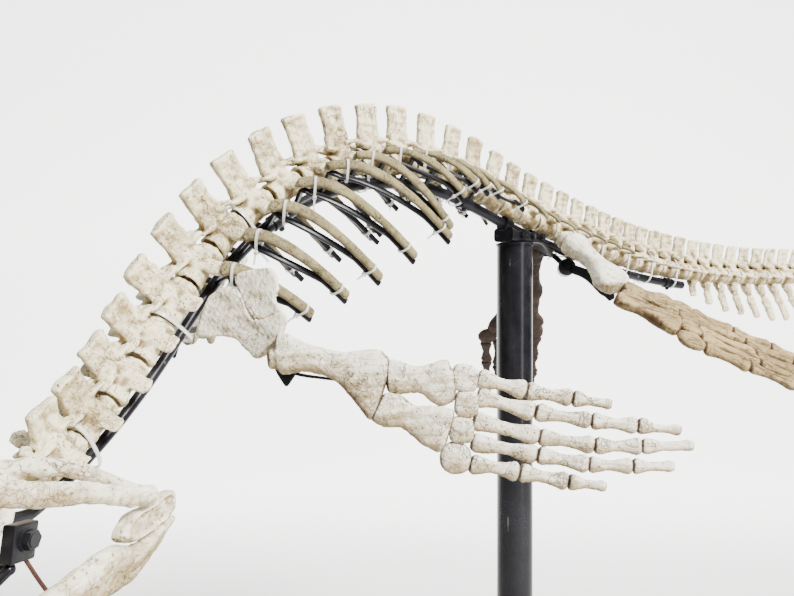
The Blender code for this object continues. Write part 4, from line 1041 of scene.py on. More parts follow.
UPPER_TEETH_FROM, UPPER_TEETH_TO = 0.270, 0.545
LOWER_TEETH_FROM, LOWER_TEETH_TO = 0.230, 0.515


def table_at(stations, x, column):
    """A column of a table of stations, read at x."""
    return float(np.interp(x, [row[0] for row in stations], [row[column] for row in stations]))


def block_rings(stations, count, power=2.8, crest=0.0):
    """Rings across the skull, narrower at the top than at the cheek line."""
    rings = []
    rows = [Vector(row) for row in stations]
    for k in range(count + 1):
        t = k / count
        x, half, top, low = read(rows, t)
        ring = []
        middle = Vector((x, 0, (top + low) / 2))
        for point in oval(middle, Vector((0, half, 0)), Vector((0, 0, (top - low) / 2)), power, 22):
            high = max((point.z - (top + low) / 2) / (top - low) * 2, 0)
            point.y *= 1 - 0.42 * high**2
            point.z += crest * math.exp(-((point.y / 0.006) ** 2)) * high
            ring.append(point)
        if k in (0, count):
            ring = [middle + (point - middle) * 0.72 for point in ring]
        rings.append(ring)
    return rings


def skull_mesh():
    """The skull's blocks and bars as one, with its nostrils and the pits beside its teeth cut in."""
    bm = bmesh.new()
    solid_through(block_rings(SNOUT, 26, 2.7), bm)
    solid_through(block_rings(FRONTAL, 12, 3.4, 0.0015), bm)
    solid_through(block_rings(PARIETAL, 10, 2.6, 0.002), bm)
    solid_through(block_rings(BRAINCASE, 10, 2.3), bm)
    solid_through(block_rings(CONDYLE, 4, 2.0), bm)
    cuts = bmesh.new()
    for side in (1, -1):
        for path, breadths, thicknesses in SKULL_BARS:
            mirrored = [(x, y * side, z) for x, y, z in path]
            limb(mirrored, breadths, thicknesses, (0, 0, 1), 5 * (len(path) - 1), 2.4, 12, bm, 0.7)
        nostril = ((0.300, 0.030 * side, 0.036), (0.370, 0.024 * side, 0.031), (0.440, 0.015 * side, 0.025))
        limb(nostril, (0.010, 0.017, 0.007), (0.030, 0.034, 0.022), (0, 1, 0), 10, 2.0, 12, cuts, 0.4)
        for x in np.arange(0.285, 0.525, 0.024):
            spot = Vector((x, table_at(SNOUT, x, 1) * 0.985 * side, -0.008 + 0.01 * math.sin(x * 300)))
            lump(spot, (0.0035, 0.0040, 0.0022), cuts)
    return bake(bm, spacing(0.0019), 3, cuts)


def tooth_mesh(scale, count=6):
    """A tooth standing up its own z axis, curved back."""
    radius, length = TOOTH_RADIUS * scale, TOOTH_LENGTH * scale
    rings = []
    for k in range(count + 1):
        t = k / count
        grow = max((1 - t) ** 0.72, 0.05) * (1.0 if t else 1.1)
        centre = Vector((-0.22 * length * t * t, 0, length * t - 0.004))
        long, broad = Vector((radius * grow, 0, 0)), Vector((0, radius * 0.86 * grow, 0))
        rings.append(oval(centre, long, broad, 2.0, 12))
    return bake(solid_through(rings))


def set_teeth(bones, spots, down):
    """Teeth at their places, each leaning its own way. Those of the upper jaw point down."""
    for k, (spot, scale) in enumerate(spots):
        lean = Matrix.Rotation(math.radians(8 * down + 5 * math.sin(k * 2.7)), 4, "Y")
        flip = Matrix.Rotation(math.pi, 4, "X") if down > 0 else Matrix()
        bones.add(tooth_mesh(scale), SKULL @ Matrix.Translation(spot) @ lean @ flip, ALONG_Z)


def tooth_places(first, last, edge):
    """Places along a jaw's edge, and each tooth's share of the full size: the longest are midway."""
    places = []
    for k in range(TEETH):
        x = first + (last - first) * k / (TEETH - 1)
        scale = 0.70 + 0.30 * math.sin(math.pi * (k + 1) / (TEETH + 1)) + 0.06 * math.sin(k * 4.1)
        places.append((Vector((x, *edge(x))), scale))
    return places


def build_skull():
    """The skull, and its teeth as a piece of their own."""
    bones = Bones("skull_bones")
    bones.add(skull_mesh(), SKULL)
    bones.finish("skull_bone", "bone", ("skull",), 0.0006, 0.0022, 20)
    teeth = Bones("upper_teeth")
    for side in (1, -1):

        def edge(x):
            return table_at(SNOUT, x, 1) * 0.84 * side, table_at(SNOUT, x, 3) + 0.003

        set_teeth(teeth, tooth_places(UPPER_TEETH_FROM, UPPER_TEETH_TO, edge), 1)
    teeth.finish("tooth", "bone", (), 0.0)


def quadrate_mesh(side):
    """The plate that hangs the jaw, its outer face dished."""
    outline = smooth_outline(QUADRATE, 4)
    middle = sum((Vector((x, 0, z)) for x, z in outline), Vector()) / len(outline)
    inner, outer = QUADRATE_FROM, QUADRATE_TO
    flank = ((inner, 0.90), (inner + 0.003, 1.0), (outer - 0.003, 1.0), (outer, 0.92))
    dish = ((outer - 0.0005, 0.78), (outer - 0.004, 0.66))
    rings = []
    for y, grow in flank + dish:
        centre = middle + Vector((0, y * side, 0))
        rings.append([centre + (Vector((x, 0, z)) - middle) * grow for x, z in outline])
    return bake(solid_through(rings), 0.0013, 3)


def jaw_mesh(side):
    """Half of the lower jaw, with the groove and the seam on its outer face, and its row of pits."""
    rows = [Vector((x, y * side, top, low)) for x, y, top, low, thick in JAW]
    thicks = [row[4] for row in JAW]
    rings = []
    count = 44
    for k in range(count + 1):
        t = k / count
        x, y, top, low = read(rows, t)
        thick = read(thicks, t)
        centre = Vector((x, y, (top + low) / 2))
        ring = oval(centre, Vector((0, thick / 2, 0)), Vector((0, 0, (top - low) / 2)), 2.6, 18)
        bulge = []
        for point in ring:
            up = (point.z - centre.z) / (top - low) * 2
            point.y += side * 0.0020 * math.sin(up * 2.6)
            bulge.append(centre + (point - centre) * (0.7 if k in (0, count) else 1.0))
        rings.append(bulge)
    bm = solid_through(rings)
    cuts = bmesh.new()
    for path, breadths, depths, steps in (
        (JAW_GROOVE, (0.004, 0.005, 0.003), (0.006, 0.007, 0.005), 8),
        (JAW_SEAM, (0.003, 0.006, 0.005, 0.003), (0.006, 0.008, 0.007, 0.005), 10),
    ):
        mirrored = [(x, y * side, z) for x, y, z in path]
        limb(mirrored, breadths, depths, (0, 0, 1), steps, 2.0, 8, cuts, 0.4)
    for x in np.arange(0.250, 0.510, 0.028):
        y, low = table_at(JAW, x, 1), table_at(JAW, x, 2) * 0.6 + table_at(JAW, x, 3) * 0.4
        lump(Vector((x, (y + 0.0082) * side, low)), (0.0034, 0.0026, 0.0020), cuts)
    return bake(bm, spacing(0.0016), 2, cuts)


def build_jaws():
    """Both halves of the lower jaw, the quadrates and the lower teeth."""
    for side, name in ((1, "left"), (-1, "right")):
        bones = Bones(f"lower_jaw_{name}")
        bones.add(jaw_mesh(side), SKULL)
        bones.finish("skull_bone", "bone", (f"jaw_{name}",), 0.0005, 0.0020, 18)
        bones = Bones(f"quadrate_plate_{name}")
        bones.add(quadrate_mesh(side), SKULL)
        bones.finish("skull_bone", "bone", (f"quadrate_{name}",), 0.0004, 0.0011, 8)
    teeth = Bones("lower_teeth")
    for side in (1, -1):

        def edge(x):
            return table_at(JAW, x, 1) * side, table_at(JAW, x, 2) - 0.003

        set_teeth(teeth, tooth_places(LOWER_TEETH_FROM, LOWER_TEETH_TO, edge), -1)
    teeth.finish("tooth", "bone", (), 0.0)


# ================================================================ paddles
# Each bone is drawn flat, in metres: pairs of (along, across) points on its leading and trailing edges.
UPPER_ARM = (
    ((-0.006, 0.009), (-0.004, -0.016)),
    ((0.003, 0.024), (0.006, -0.024)),
    ((0.041, 0.010), (0.036, -0.020)),
    ((0.078, 0.001), (0.069, -0.031)),
    ((0.119, 0.004), (0.091, -0.055)),
    ((0.134, -0.008), (0.110, -0.080)),
)
RADIUS = (
    ((0.1385, -0.008), (0.1380, -0.047)),
    ((0.150, -0.010), (0.151, -0.048)),
    ((0.175, -0.016), (0.175, -0.0475)),
    ((0.206, -0.0075), (0.199, -0.063)),
    ((0.2135, -0.018), (0.2145, -0.060)),
)
ULNA = (
    ((0.134, -0.0490), (0.1175, -0.083)),
    ((0.150, -0.052), (0.131, -0.089)),
    ((0.166, -0.064), (0.155, -0.092)),
    ((0.194, -0.067), (0.180, -0.114)),
    ((0.2145, -0.070), (0.197, -0.122)),
)
THIGH = (
    ((-0.006, 0.009), (-0.004, -0.018)),
    ((0.003, 0.022), (0.006, -0.027)),
    ((0.045, 0.006), (0.042, -0.025)),
    ((0.085, -0.001), (0.078, -0.036)),
    ((0.116, 0.001), (0.106, -0.058)),
    ((0.134, -0.010), (0.124, -0.068)),
)
THIGH_THICKNESS = (0.032, 0.038, 0.028, 0.028, 0.034, 0.030)
ARM_THICKNESS = (0.028, 0.034, 0.027, 0.025, 0.025, 0.021)
FOREARM_THICKNESS = (0.021, 0.022, 0.018, 0.021, 0.019)
DIGITS = (
    ((0.2465, -0.029), (0.0635, 0.058, 0.050), (-15, -9, -9)),
    ((0.2450, -0.052), (0.0760, 0.071, 0.058, 0.055), (-15, -9, -6, -6)),
    ((0.2410, -0.082), (0.0850, 0.070, 0.059, 0.066), (-14, -9, -1, 1)),
    ((0.2385, -0.109), (0.0845, 0.065, 0.055, 0.053), (-11, -11, -2, 0)),
    ((0.2370, -0.136), (0.0630, 0.062, 0.048), (-10, -11, -7)),
)
# The pebble-like bones of the wrist: centre, length, width, and the power of the outline, 2 for a round one.
WRIST = (
    ((0.2310, -0.029), 0.0350, 0.0350, 4.2),
    ((0.2328, -0.0610), 0.0315, 0.0355, 4.2),
    ((0.2270, -0.0935), 0.0325, 0.0350, 4.2),
    ((0.2195, -0.1285), 0.0415, 0.0425, 2.1),
)
JOINT_WIDTH, WAIST_WIDTH, TIP_WIDTH, DIGIT_THICKNESS = 0.0262, 0.0158, 0.0150, 0.0155
CARTILAGE = 0.0004
EDGE_FILL = 0.0018  # softening takes this much off a bone's edges
DOME = ((0.0, 1.0), (0.0036, 0.94), (0.0062, 0.78), (0.0075, 0.50))  # a flat bone's ends: rise and size
FACE_LEAN = 0.16
# Down a bone of a digit: place, and width and thickness as shares. A width of 0 is the waist's own.
DIGIT_PROFILE = (
    (0.0, 0.55, 0.60), (0.03, 0.84, 0.88), (0.10, 1.0, 1.0), (0.24, 0.80, 0.82), (0.42, 0.0, 0.66),
    (0.58, 0.0, 0.66), (0.76, 0.80, 0.82), (0.90, 1.0, 1.0), (0.97, 0.84, 0.88), (1.0, 0.55, 0.60),
)


def lean_face(point, breadth, thick, lean=FACE_LEAN):
    """Move the outer face of a flat bone towards its leading edge, so that its trailing flank is a slope."""
    return point + breadth * (lean * min(max(point.z / thick + 0.1, 0), 0.6))


def flat_bone_mesh(edges, thicknesses, voxel, lean=FACE_LEAN, dome=1.0):
    """A paddle bone drawn flat: rounded edges, a waist in its thickness, and ends with a raised rim."""
    leads = [Vector((*lead, 0)) for lead, trail in edges]
    trails = [Vector((*trail, 0)) for lead, trail in edges]
    rings = []
    count = 18
    marks = [(0.0, -rise * dome, grow) for rise, grow in reversed(DOME)]
    marks += [((k + 0.5) / count, 0.0, 1.0) for k in range(count)]
    marks += [(1.0, rise * dome, grow) for rise, grow in DOME]
    for t, rise, grow in marks:
        lead, trail, thick = read(leads, t), read(trails, t), read(thicknesses, t)
        before, after = max(t - 0.02, 0), min(t + 0.02, 1)
        out = read(leads, after) + read(trails, after) - read(leads, before) - read(trails, before)
        half = (lead - trail) / 2 + (lead - trail).normalized() * EDGE_FILL
        middle = (lead + trail) / 2 + out.normalized() * rise
        ring = oval(middle, half * grow, Vector((0, 0, thick * grow / 2)), 3.0, 24)
        rings.append([lean_face(point, half * 2, thick, lean) for point in ring])
    return bake(solid_through(rings), voxel, 3)


def phalanx_mesh(length, near, waist, far, thick, voxel):
    """A spool along x: swollen ends and a narrow waist."""
    rings = []
    for t, share, tall in DIGIT_PROFILE:
        end = near + (far - near) * min(max((t - 0.3) / 0.4, 0), 1)
        half = waist / 2 if not share else max(end * share, waist) / 2
        wide, high = Vector((0, half, 0)), Vector((0, 0, thick * tall / 2))
        ring = oval(Vector((length * t, 0, 0)), wide, high, 2.8, 16)
        rings.append([lean_face(point, Vector((0, half * 2, 0)), thick) for point in ring])
    bm = solid_through(rings)
    long = [e for e in bm.edges if e.calc_length() > 0.006]
    bmesh.ops.subdivide_edges(bm, edges=long, cuts=2, use_grid_fill=True)
    return bake(bm, voxel, 2)


def pebble_mesh(length, width, thick, power, voxel):
    """A bone of the wrist, along x."""
    rings = []
    for k in range(9):
        turn = math.pi * (k + 0.35) / 8.7
        half = math.sin(turn) ** (2 / power)
        wide, tall = Vector((0, width / 2 * half, 0)), Vector((0, 0, thick / 2 * half))
        rings.append(oval(Vector((-math.cos(turn) * length / 2, 0, 0)), wide, tall, power, 20))
    return bake(solid_through(rings), voxel, 2)


def build_digits(name, outer, kind, slot, nodes):
    """The wrist or ankle and the five digits, laid in the outer paddle's axes."""
    bones = Bones(name)
    voxel = spacing(0.0015 if name.startswith("fore") else 0.0017)
    for number, ((x, y), lengths, headings) in enumerate(DIGITS):
        spot = Vector((x, y, 0))
        for k, (length, heading_degrees) in enumerate(zip(lengths, headings)):
            turn = Matrix.Rotation(math.radians(heading_degrees), 4, "Z")
            shrink = 1 - 0.06 * k
            last = k == len(lengths) - 1
            near, far = JOINT_WIDTH * shrink, TIP_WIDTH if last else JOINT_WIDTH * (shrink - 0.02)
            waist = WAIST_WIDTH * shrink * (0.86 if last else 1)
            mesh = phalanx_mesh(length - CARTILAGE, near, waist, far, DIGIT_THICKNESS * shrink, voxel)
            twist = Matrix.Rotation(math.radians(6 * math.sin(number * 5 + k * 3)), 4, "X")
            bones.add(mesh, outer @ Matrix.Translation(spot) @ turn @ twist, seams=1.0)
            spot = spot + turn.to_3x3() @ Vector((length, 0, 0))
    for k, ((x, y), length, width, power) in enumerate(WRIST):
        mesh = pebble_mesh(length, width, DIGIT_THICKNESS * 1.12, power, voxel)
        turn = Matrix.Rotation(math.radians(-12 + 5 * k), 4, "Z")
        bones.add(mesh, outer @ Matrix.Translation((x, y, 0)) @ turn, seams=0.6)
    bones.finish(kind, slot, nodes, 0.0004, 0.0010, 6)


def limb_frame(origin, along, across, droop=0.0):
    """Axes with x down the limb and y to its leading edge, turned so that its fan of digits lies along it."""
    x = Vector(along).normalized()
    y = (Vector(across) - x * Vector(across).dot(x)).normalized()
    turn = math.radians(droop)
    ahead = x * math.cos(turn) + y * math.sin(turn)
    return frame_of(ahead, y * math.cos(turn) - x * math.sin(turn), x.cross(y), origin)


def bent_frame(upper, along, across, droop):
    """The outer paddle's axes, its elbow laid on the upper bone's."""
    elbow, joint = Vector((0.136, -0.046, 0)), Vector((0.160, -0.046, 0))
    outer = limb_frame(Vector(), along, across, droop) @ Matrix.Scale(HIND_SIZE, 4)
    outer.translation = upper @ joint - outer.to_3x3() @ elbow
    return outer


def build_paddle(limb_name, side, upper, outer, names, kinds, slots):
    """A paddle: its upper bone, its two outer bones, and the wrist and digits as one piece."""
    fine = spacing(0.0016)
    shape = (UPPER_ARM, ARM_THICKNESS) if limb_name == "fore" else (THIGH, THIGH_THICKNESS)
    for name, axes, edges, thicknesses, kind, slot in (
        (names[0], upper, *shape, kinds[0], slots[0]),
        (names[1], outer, RADIUS, FOREARM_THICKNESS, kinds[1], slots[1]),
        (names[2], outer, ULNA, FOREARM_THICKNESS, kinds[1], slots[1]),
    ):
        bones = Bones(f"{name}_bone_{side}")
        lean = FACE_LEAN if limb_name == "fore" else 0.0
        dome = {UPPER_ARM: 1.25, THIGH: 2.4}.get(edges, 0.75)
        seams = 0.25 if edges is THIGH else 1.0
        bones.add(flat_bone_mesh(edges, thicknesses, fine, lean, dome), axes, seams=seams)
        bones.finish(kind, slot, (f"{name}_{side}",), 0.0007, 0.0012, 10)
    nodes = tuple(f"{limb_name}_{side}_digit_{number + 1}" for number in range(len(DIGITS)))
    build_digits(f"{limb_name}_digits_{side}", outer, kinds[2], slots[2], nodes)


# ================================================================ girdles
# Flat outlines (along, up) from the shoulder joint.
CORACOID = (
    (-0.124, 0.020),
    (-0.113, 0.049),
    (-0.101, 0.066),
    (-0.066, 0.070),
    (-0.042, 0.031),
    (-0.007, 0.041),
    (0.003, 0.030),
    (-0.010, 0.004),
    (-0.036, -0.016),
    (-0.051, -0.008),
    (-0.072, 0.009),
    (-0.121, 0.009),
)
SCAPULA = (
    (-0.068, 0.086),
    (-0.051, 0.093),
    (-0.033, 0.097),
    (-0.016, 0.094),
    (-0.007, 0.075),
    (-0.012, 0.057),
    (-0.004, 0.043),
    (-0.039, 0.034),
    (-0.063, 0.071),
)
GIRDLE_THICKNESS = 0.009
SHOULDER = Vector((-0.3996, -0.5390, 1.3904))
GIRDLE_ALONG = Vector((0.949, -0.314, 0.0))
GIRDLE_LEVEL = 6
RIGHT_SET_BACK = 0.012  # the right girdle stands this much farther out
ARM_ROOT = Vector((-0.40125, -0.550, 1.37875))
RIGHT_ARM_WAY, RIGHT_ARM_ACROSS = (0.02, 0.94, 0.30), (0.0, -0.30, 0.95)

HIP = Vector((0.131, 0.020, 1.571))
HIP_LEVEL = 21.25  # down the backbone, in vertebrae
THIGH_WAY, THIGH_ACROSS = (0.45, -0.62, -0.50), (0.403, 0.843, 0.356)
SHANK_WAY = (0.870, -0.200, -0.420)
RIGHT_LEG_WAY, RIGHT_LEG_ACROSS = (0.070, 0.689, -0.723), (0.99, -0.07, 0.03)
RIGHT_LEG_SHIFT = 0.002
FAN_DROOP = 13
HIND_SIZE = 1.26


def smooth_outline(points, steps):
    """A closed outline rounded through its corners."""
    count = len(points)
    rounded = []
    for k in range(count):
        p0, p1, p2, p3 = (Vector(points[(k + d) % count]) for d in (-1, 0, 1, 2))
        for step in range(steps):
            f = step / steps
            rounded.append(through(p0, p1, p2, p3, f))
    return rounded


def mirror(point, axes):
    """A point on the other side of the body's middle plane."""
    left = Vector(axes.col[1][:3])
    return point - left * 2 * (point - axes.translation).dot(left)


def mirror_way(way, axes):
    """A direction on the other side of that plane."""
    left = Vector(axes.col[1][:3])
    return Vector(way) - left * 2 * Vector(way).dot(left)


def shoulder_frames():
    """The axes of both shoulders' plates, and where the right upper arm starts."""
    left = frame_of(GIRDLE_ALONG, Vector((0, 0, 1)), GIRDLE_ALONG.cross(Vector((0, 0, 1))), SHOULDER)
    level = vertebra_frame(GIRDLE_LEVEL)
    away = -Vector(level.col[1][:3]) * RIGHT_SET_BACK
    along = mirror_way(GIRDLE_ALONG, level)
    right = frame_of(along, Vector((0, 0, 1)), along.cross(Vector((0, 0, 1))), mirror(SHOULDER, level) + away)
    return left, right, mirror(ARM_ROOT, level) + away


def girdle_mesh(outline):
    """A flat plate with rounded edges, thicker near the shoulder joint."""
    rounded = smooth_outline(outline, 5)
    middle = sum(rounded, Vector((0, 0))) / len(rounded)
    rings = []
    for z, grow in ((-0.5, 0.97), (-0.28, 1.05), (0.28, 1.05), (0.5, 0.97)):
        ring = []
        for point in rounded:
            near = math.exp(-(point.length / 0.045) ** 2)
            thick = GIRDLE_THICKNESS * (0.82 + 0.40 * near)
            x, y = middle + (point - middle) * grow
            ring.append(Vector((x, y, z * thick)))
        rings.append(ring)
    return bake(solid_through(rings), spacing(0.0013), 2)


def fan_grain(points):
    """The grain of a plate that fans out from the shoulder joint."""
    reach = np.hypot(points[:, 0], points[:, 1])
    turn = np.arctan2(points[:, 1], points[:, 0])
    return np.stack([reach, turn * 0.085, points[:, 2]], 1)


def build_girdles():
    """The coracoid and shoulder blade of both sides."""
    for side, axes in zip(("left", "right"), shoulder_frames()[:2]):
        for name, outline in (("coracoid", CORACOID), ("scapula", SCAPULA)):
            bones = Bones(f"{name}_plate_{side}")
            bones.add(girdle_mesh(outline), axes, fan_grain)
            bones.finish("plate_bone", "bone", (f"{name}_{side}",), 0.0008, 0.0011, 8)


def build_fore_paddles():
    """The front paddles: the left laid back along the trunk, the right held out to its side."""
    names = ("humerus", "radius", "ulna")
    kinds, slots = ("paddle_bone",) * 3, ("bone",) * 3
    arm = limb_frame(ARM_ROOT, (1, 0, 0), (0, 0, 1))
    build_paddle("fore", "left", arm, arm, names, kinds, slots)
    arm = limb_frame(shoulder_frames()[2], RIGHT_ARM_WAY, RIGHT_ARM_ACROSS, FAN_DROOP)
    build_paddle("fore", "right", arm, arm, names, kinds, slots)


def build_hind_paddles():
    """The hind paddles: the left bent at the knee, the right hanging straight."""
    names = ("femur", "tibia", "fibula")
    grown = Matrix.Scale(HIND_SIZE, 4)
    thigh = limb_frame(HIP, THIGH_WAY, THIGH_ACROSS) @ grown
    outer = bent_frame(thigh, SHANK_WAY, THIGH_ACROSS, FAN_DROOP)
    kinds = ("paddle_bone", "striped_bone", "striped_bone")
    build_paddle("hind", "left", thigh, outer, names, kinds, ("bone", "stained_bone", "stained_bone"))
    level = place(STARTS[int(HIP_LEVEL)] + (HIP_LEVEL % 1) * LENGTHS[int(HIP_LEVEL)])
    root = mirror(HIP, level) + Vector((RIGHT_LEG_SHIFT, 0, 0))
    leg = limb_frame(root, RIGHT_LEG_WAY, RIGHT_LEG_ACROSS, FAN_DROOP) @ grown
    # The right paddle takes the darker copy of the bone colours, which is painted shade for the far side.
    kinds = ("dark_bone", "dark_bone", "dark_bone")
    build_paddle("hind", "right", leg, leg, names, kinds, ("bone", "dark_bone", "dark_bone"))


# ================================================================ steelwork
CROSS_RADIUS = 0.019
CROSS_END = ((0.0, 0.80), (0.002, 0.96), (0.004, 1.0))  # in from its end, and the share of its radius
CROSS_NEAR, CROSS_FAR = Vector((0.1196, 0.0205, 1.5185)), Vector((0.1480, 0.1400, 1.5185))
THIGH_ARM = ((0.122, 0.030, 1.518), (0.150, -0.020, 1.500), (0.180, -0.050, 1.470), (0.189, -0.060, 1.446))
THIGH_ARM_BREADTHS, THIGH_ARM_THICKNESSES = (0.020, 0.022, 0.034, 0.012), (0.006, 0.006, 0.006, 0.005)
FAR_ARM = ((0.146, 0.130, 1.524), (0.122, 0.148, 1.552), (0.092, 0.142, 1.556))
SHOULDER_ARM = (
    (-0.490, -0.478, 1.409),
    (-0.4212, -0.510, 1.397),
    (-0.3955, -0.526, 1.357),
    (-0.334, -0.530, 1.345),
)
SHOULDER_BREADTHS = (0.011, 0.010, 0.009, 0.005, 0.0035)
GUSSET = ((-0.3965, -0.5290, 1.3640), (-0.3965, -0.5300, 1.3520), (-0.3965, -0.5310, 1.3370))
SHOULDER_THICKNESSES = (0.005, 0.005, 0.005, 0.005, 0.004)
JAW_YOKE = ((0.145, 0.068, -0.078), (0.095, 0.074, -0.046), (0.095, -0.074, -0.046), (0.145, -0.068, -0.078))
SADDLE = ((-0.034, 0.026), (0.062, 0.026), (0.130, 0.005))  # along the tube, and half its width there
SADDLE_TIP = 0.018
SADDLE_BOLTS, SADDLE_COLLARS = (-0.016, 0.022, 0.052), (-0.030, 0.058)  # from where the tube meets the pole
COLLAR, SADDLE_COLLAR = (-0.013, -0.011, 0.011, 0.013), (-0.010, -0.008, 0.008, 0.010)
WASHER = 0.0018
TUBE_SLIM_AT, TUBE_SLIM = (0.0, 0.30, 0.50), (0.62, 0.68, 1.0)  # the tube is slimmer under the neck
FLANGE_BOLTS, BOLT_CIRCLE = 6, 0.068
GAP = 0.0006
# Each wire's path on the left, in the skull's axes.
JAW_WIRES = (
    ((0.145, 0.068, -0.078), (0.150, 0.078, -0.100), (0.140, 0.0905, -0.118), (0.128, 0.100, -0.122)),
    ((0.082, 0.076, -0.040), (0.060, 0.078, -0.066), (0.040, 0.088, -0.094), (0.036, 0.101, -0.1020)),
    ((0.020, 0.100, -0.092), (0.016, 0.1025, -0.108), (0.040, 0.103, -0.112), (0.050, 0.1015, -0.1030)),
)
JAW_WIRE = 0.0034
CLAMP_SIZE = (0.026, 0.012, 0.030)
RIB_TIES = (0.17, 0.91)  # down a rib
TUBE_TIES = (2, 5, 8, 12, 16, 19, 22, 24, 26, 28, 30)  # at these vertebrae
TIE_CORNER, TIE_THICKNESS = 2.8, 0.0012


def tube_drop(s):
    """How far under the backbone's middle the armature tube runs."""
    index = float(np.interp(s, STARTS, range(COUNT + 1)))
    return size(index, BODY_AT, BODY_RADIUS) * 0.96 + TUBE_CLEAR + TUBE_CORNER


def tube_point(s):
    """The tube's middle at s along the backbone."""
    return at(place(s), 0, 0, -tube_drop(s))


def pole_crossing():
    """How far down the backbone the pole's axis is."""
    s = 0.0
    while place(s).translation.x < 0:
        s += WALK
    return s


def hexagon_bolt(bm, matrix, across=0.013, tall=0.007):
    """A bolt's head on its washer, standing along the matrix's z."""
    discs = (  # radius, foot, top, sides, and the top's share of the radius
        (across * 0.66, 0.0, WASHER, 20, 0.96),
        (across * 0.577, WASHER, tall, 6, 1.0),
        (across * 0.43, tall, tall + 0.0009, 20, 0.96),
    )
    for radius, low, high, sides, taper in discs:
        bmesh.ops.create_cone(
            bm, cap_ends=True, segments=sides, radius1=radius, radius2=radius * taper, depth=high - low,
            matrix=matrix @ Matrix.Translation((0, 0, (low + high) / 2)),
        )


def bevelled_block(bm, matrix, offset, segments):
    """A unit cube laid by a matrix, with its edges bevelled."""
    corners = bmesh.ops.create_cube(bm, size=1.0, matrix=matrix)["verts"]
    edges = {e for vert in corners for e in vert.link_edges}
    bmesh.ops.bevel(
        bm, geom=list(edges), offset=offset, segments=segments, profile=0.5, affect="EDGES", material=-1
    )


def facing(point, way):
    """Axes at a point whose z runs along a way."""
    way = Vector(way).normalized()
    turn = way.to_track_quat("Z", "X").to_matrix().to_4x4()
    return Matrix.Translation(point) @ turn


def rod_rings(points, breadth_way, breadth, thickness, sides=12, power=4.5):
    """Rings along a path for a bar whose broad face lies along breadth_way."""
    rings = []
    for k, point in enumerate(points):
        ahead = (points[min(k + 1, len(points) - 1)] - points[max(k - 1, 0)]).normalized()
        wide = (breadth_way - ahead * breadth_way.dot(ahead)).normalized()
        rings.append(oval(point, wide * breadth / 2, ahead.cross(wide) * thickness / 2, power, sides))
    return rings


def rod_point(index, side, t):
    """A point down the rod that carries a rib, in the room."""
    sag = ROD_SAG * (0.28 + 0.72 * math.sin(math.pi * min(t * 1.25, 1.0))) * min(t / 0.12, 1.0)
    return vertebra_frame(index) @ rib_point(index, side, t, ROD_INSET) - Vector((0, 0, sag))


def tube_collar(bm, s, steps, width, sides, power):
    """A collar round the tube at s along the backbone, its rings at steps from there."""
    path = [tube_point(s + step) for step in steps]
    solid_through(rod_rings(path, Vector((0, 0, 1)), width, width, sides, power), bm)


def build_armature():
    """The tube under the backbone, a rod under each long rib, and the tube's collars."""
    radius = bpy.context.scene.mosasaur_mount.tube_radius
    nose = SKULL @ Vector((0.105, 0, -0.029))
    marks = np.arange(0.0, STARTS[TUBE_END], 0.014)
    path = [nose, nose.lerp(tube_point(0.0), 0.5), *[tube_point(s) for s in [*marks, STARTS[TUBE_END]]]]
    shares = [TUBE_SLIM[0], TUBE_SLIM[0], *np.interp(marks, TUBE_SLIM_AT, TUBE_SLIM), 1.0]
    rings = []
    full = rod_rings(path, Vector((0, 0, 1)), 2 * radius, 2 * radius, 18, 2.0)
    for point, ring, share in zip(path, full, shares):
        rings.append([point + (corner - point) * share for corner in ring])
    steel_piece("armature_tube", solid_through(rings), ("stand_armature_front", "stand_armature_rear"))
    bm = bmesh.new()
    for index in range(FIRST_RIB, LAST_LONG_RIB + 1):
        axes = vertebra_frame(index)
        middle = (STARTS[index] + STARTS[index + 1]) / 2
        root = tube_point(middle)
        broad = Vector(axes.col[0][:3])
        for side in (1, -1):
            points = [rod_point(index, side, t) for t in np.linspace(0.0, 1.0, 26)]
            first = points[0]
            points = [root, root.lerp(first, 0.5), *points]
            points.append(points[-1] + (points[-1] - points[-2]).normalized() * 0.006)
            solid_through(rod_rings(points, broad, ROD_BREADTH, ROD_THICKNESS), bm)
    steel_piece("rib_rods", bm)
    crossing = pole_crossing()
    bm = bmesh.new()
    for s in (0.50, crossing - 0.16, crossing + 0.20, STARTS[TUBE_END] - 0.05):
        tube_collar(bm, s, COLLAR, 2 * radius + 0.005, 18, 2.0)
        axes = place(s)
        under = at(axes, 0, 0, -tube_drop(s) - radius - 0.002)
        hexagon_bolt(bm, facing(under, -Vector(axes.col[2][:3])), 0.008, 0.005)
    steel_piece("armature_collars", bm)


def turned(profile, centre, segments=64):
    """A round piece spun from its profile of (radius, height), closed on its axis."""
    bm = bmesh.new()
    verts = [bm.verts.new((centre[0] + r, centre[1], z)) for r, z in profile]
    edges = [bm.edges.new(pair) for pair in zip(verts, verts[1:])]
    bmesh.ops.spin(
        bm, geom=verts + edges, cent=(*centre, 0), axis=(0, 0, 1), angle=math.tau, steps=segments,
        use_merge=True,
    )
    bmesh.ops.remove_doubles(bm, verts=bm.verts, dist=0.00005)
    return bm


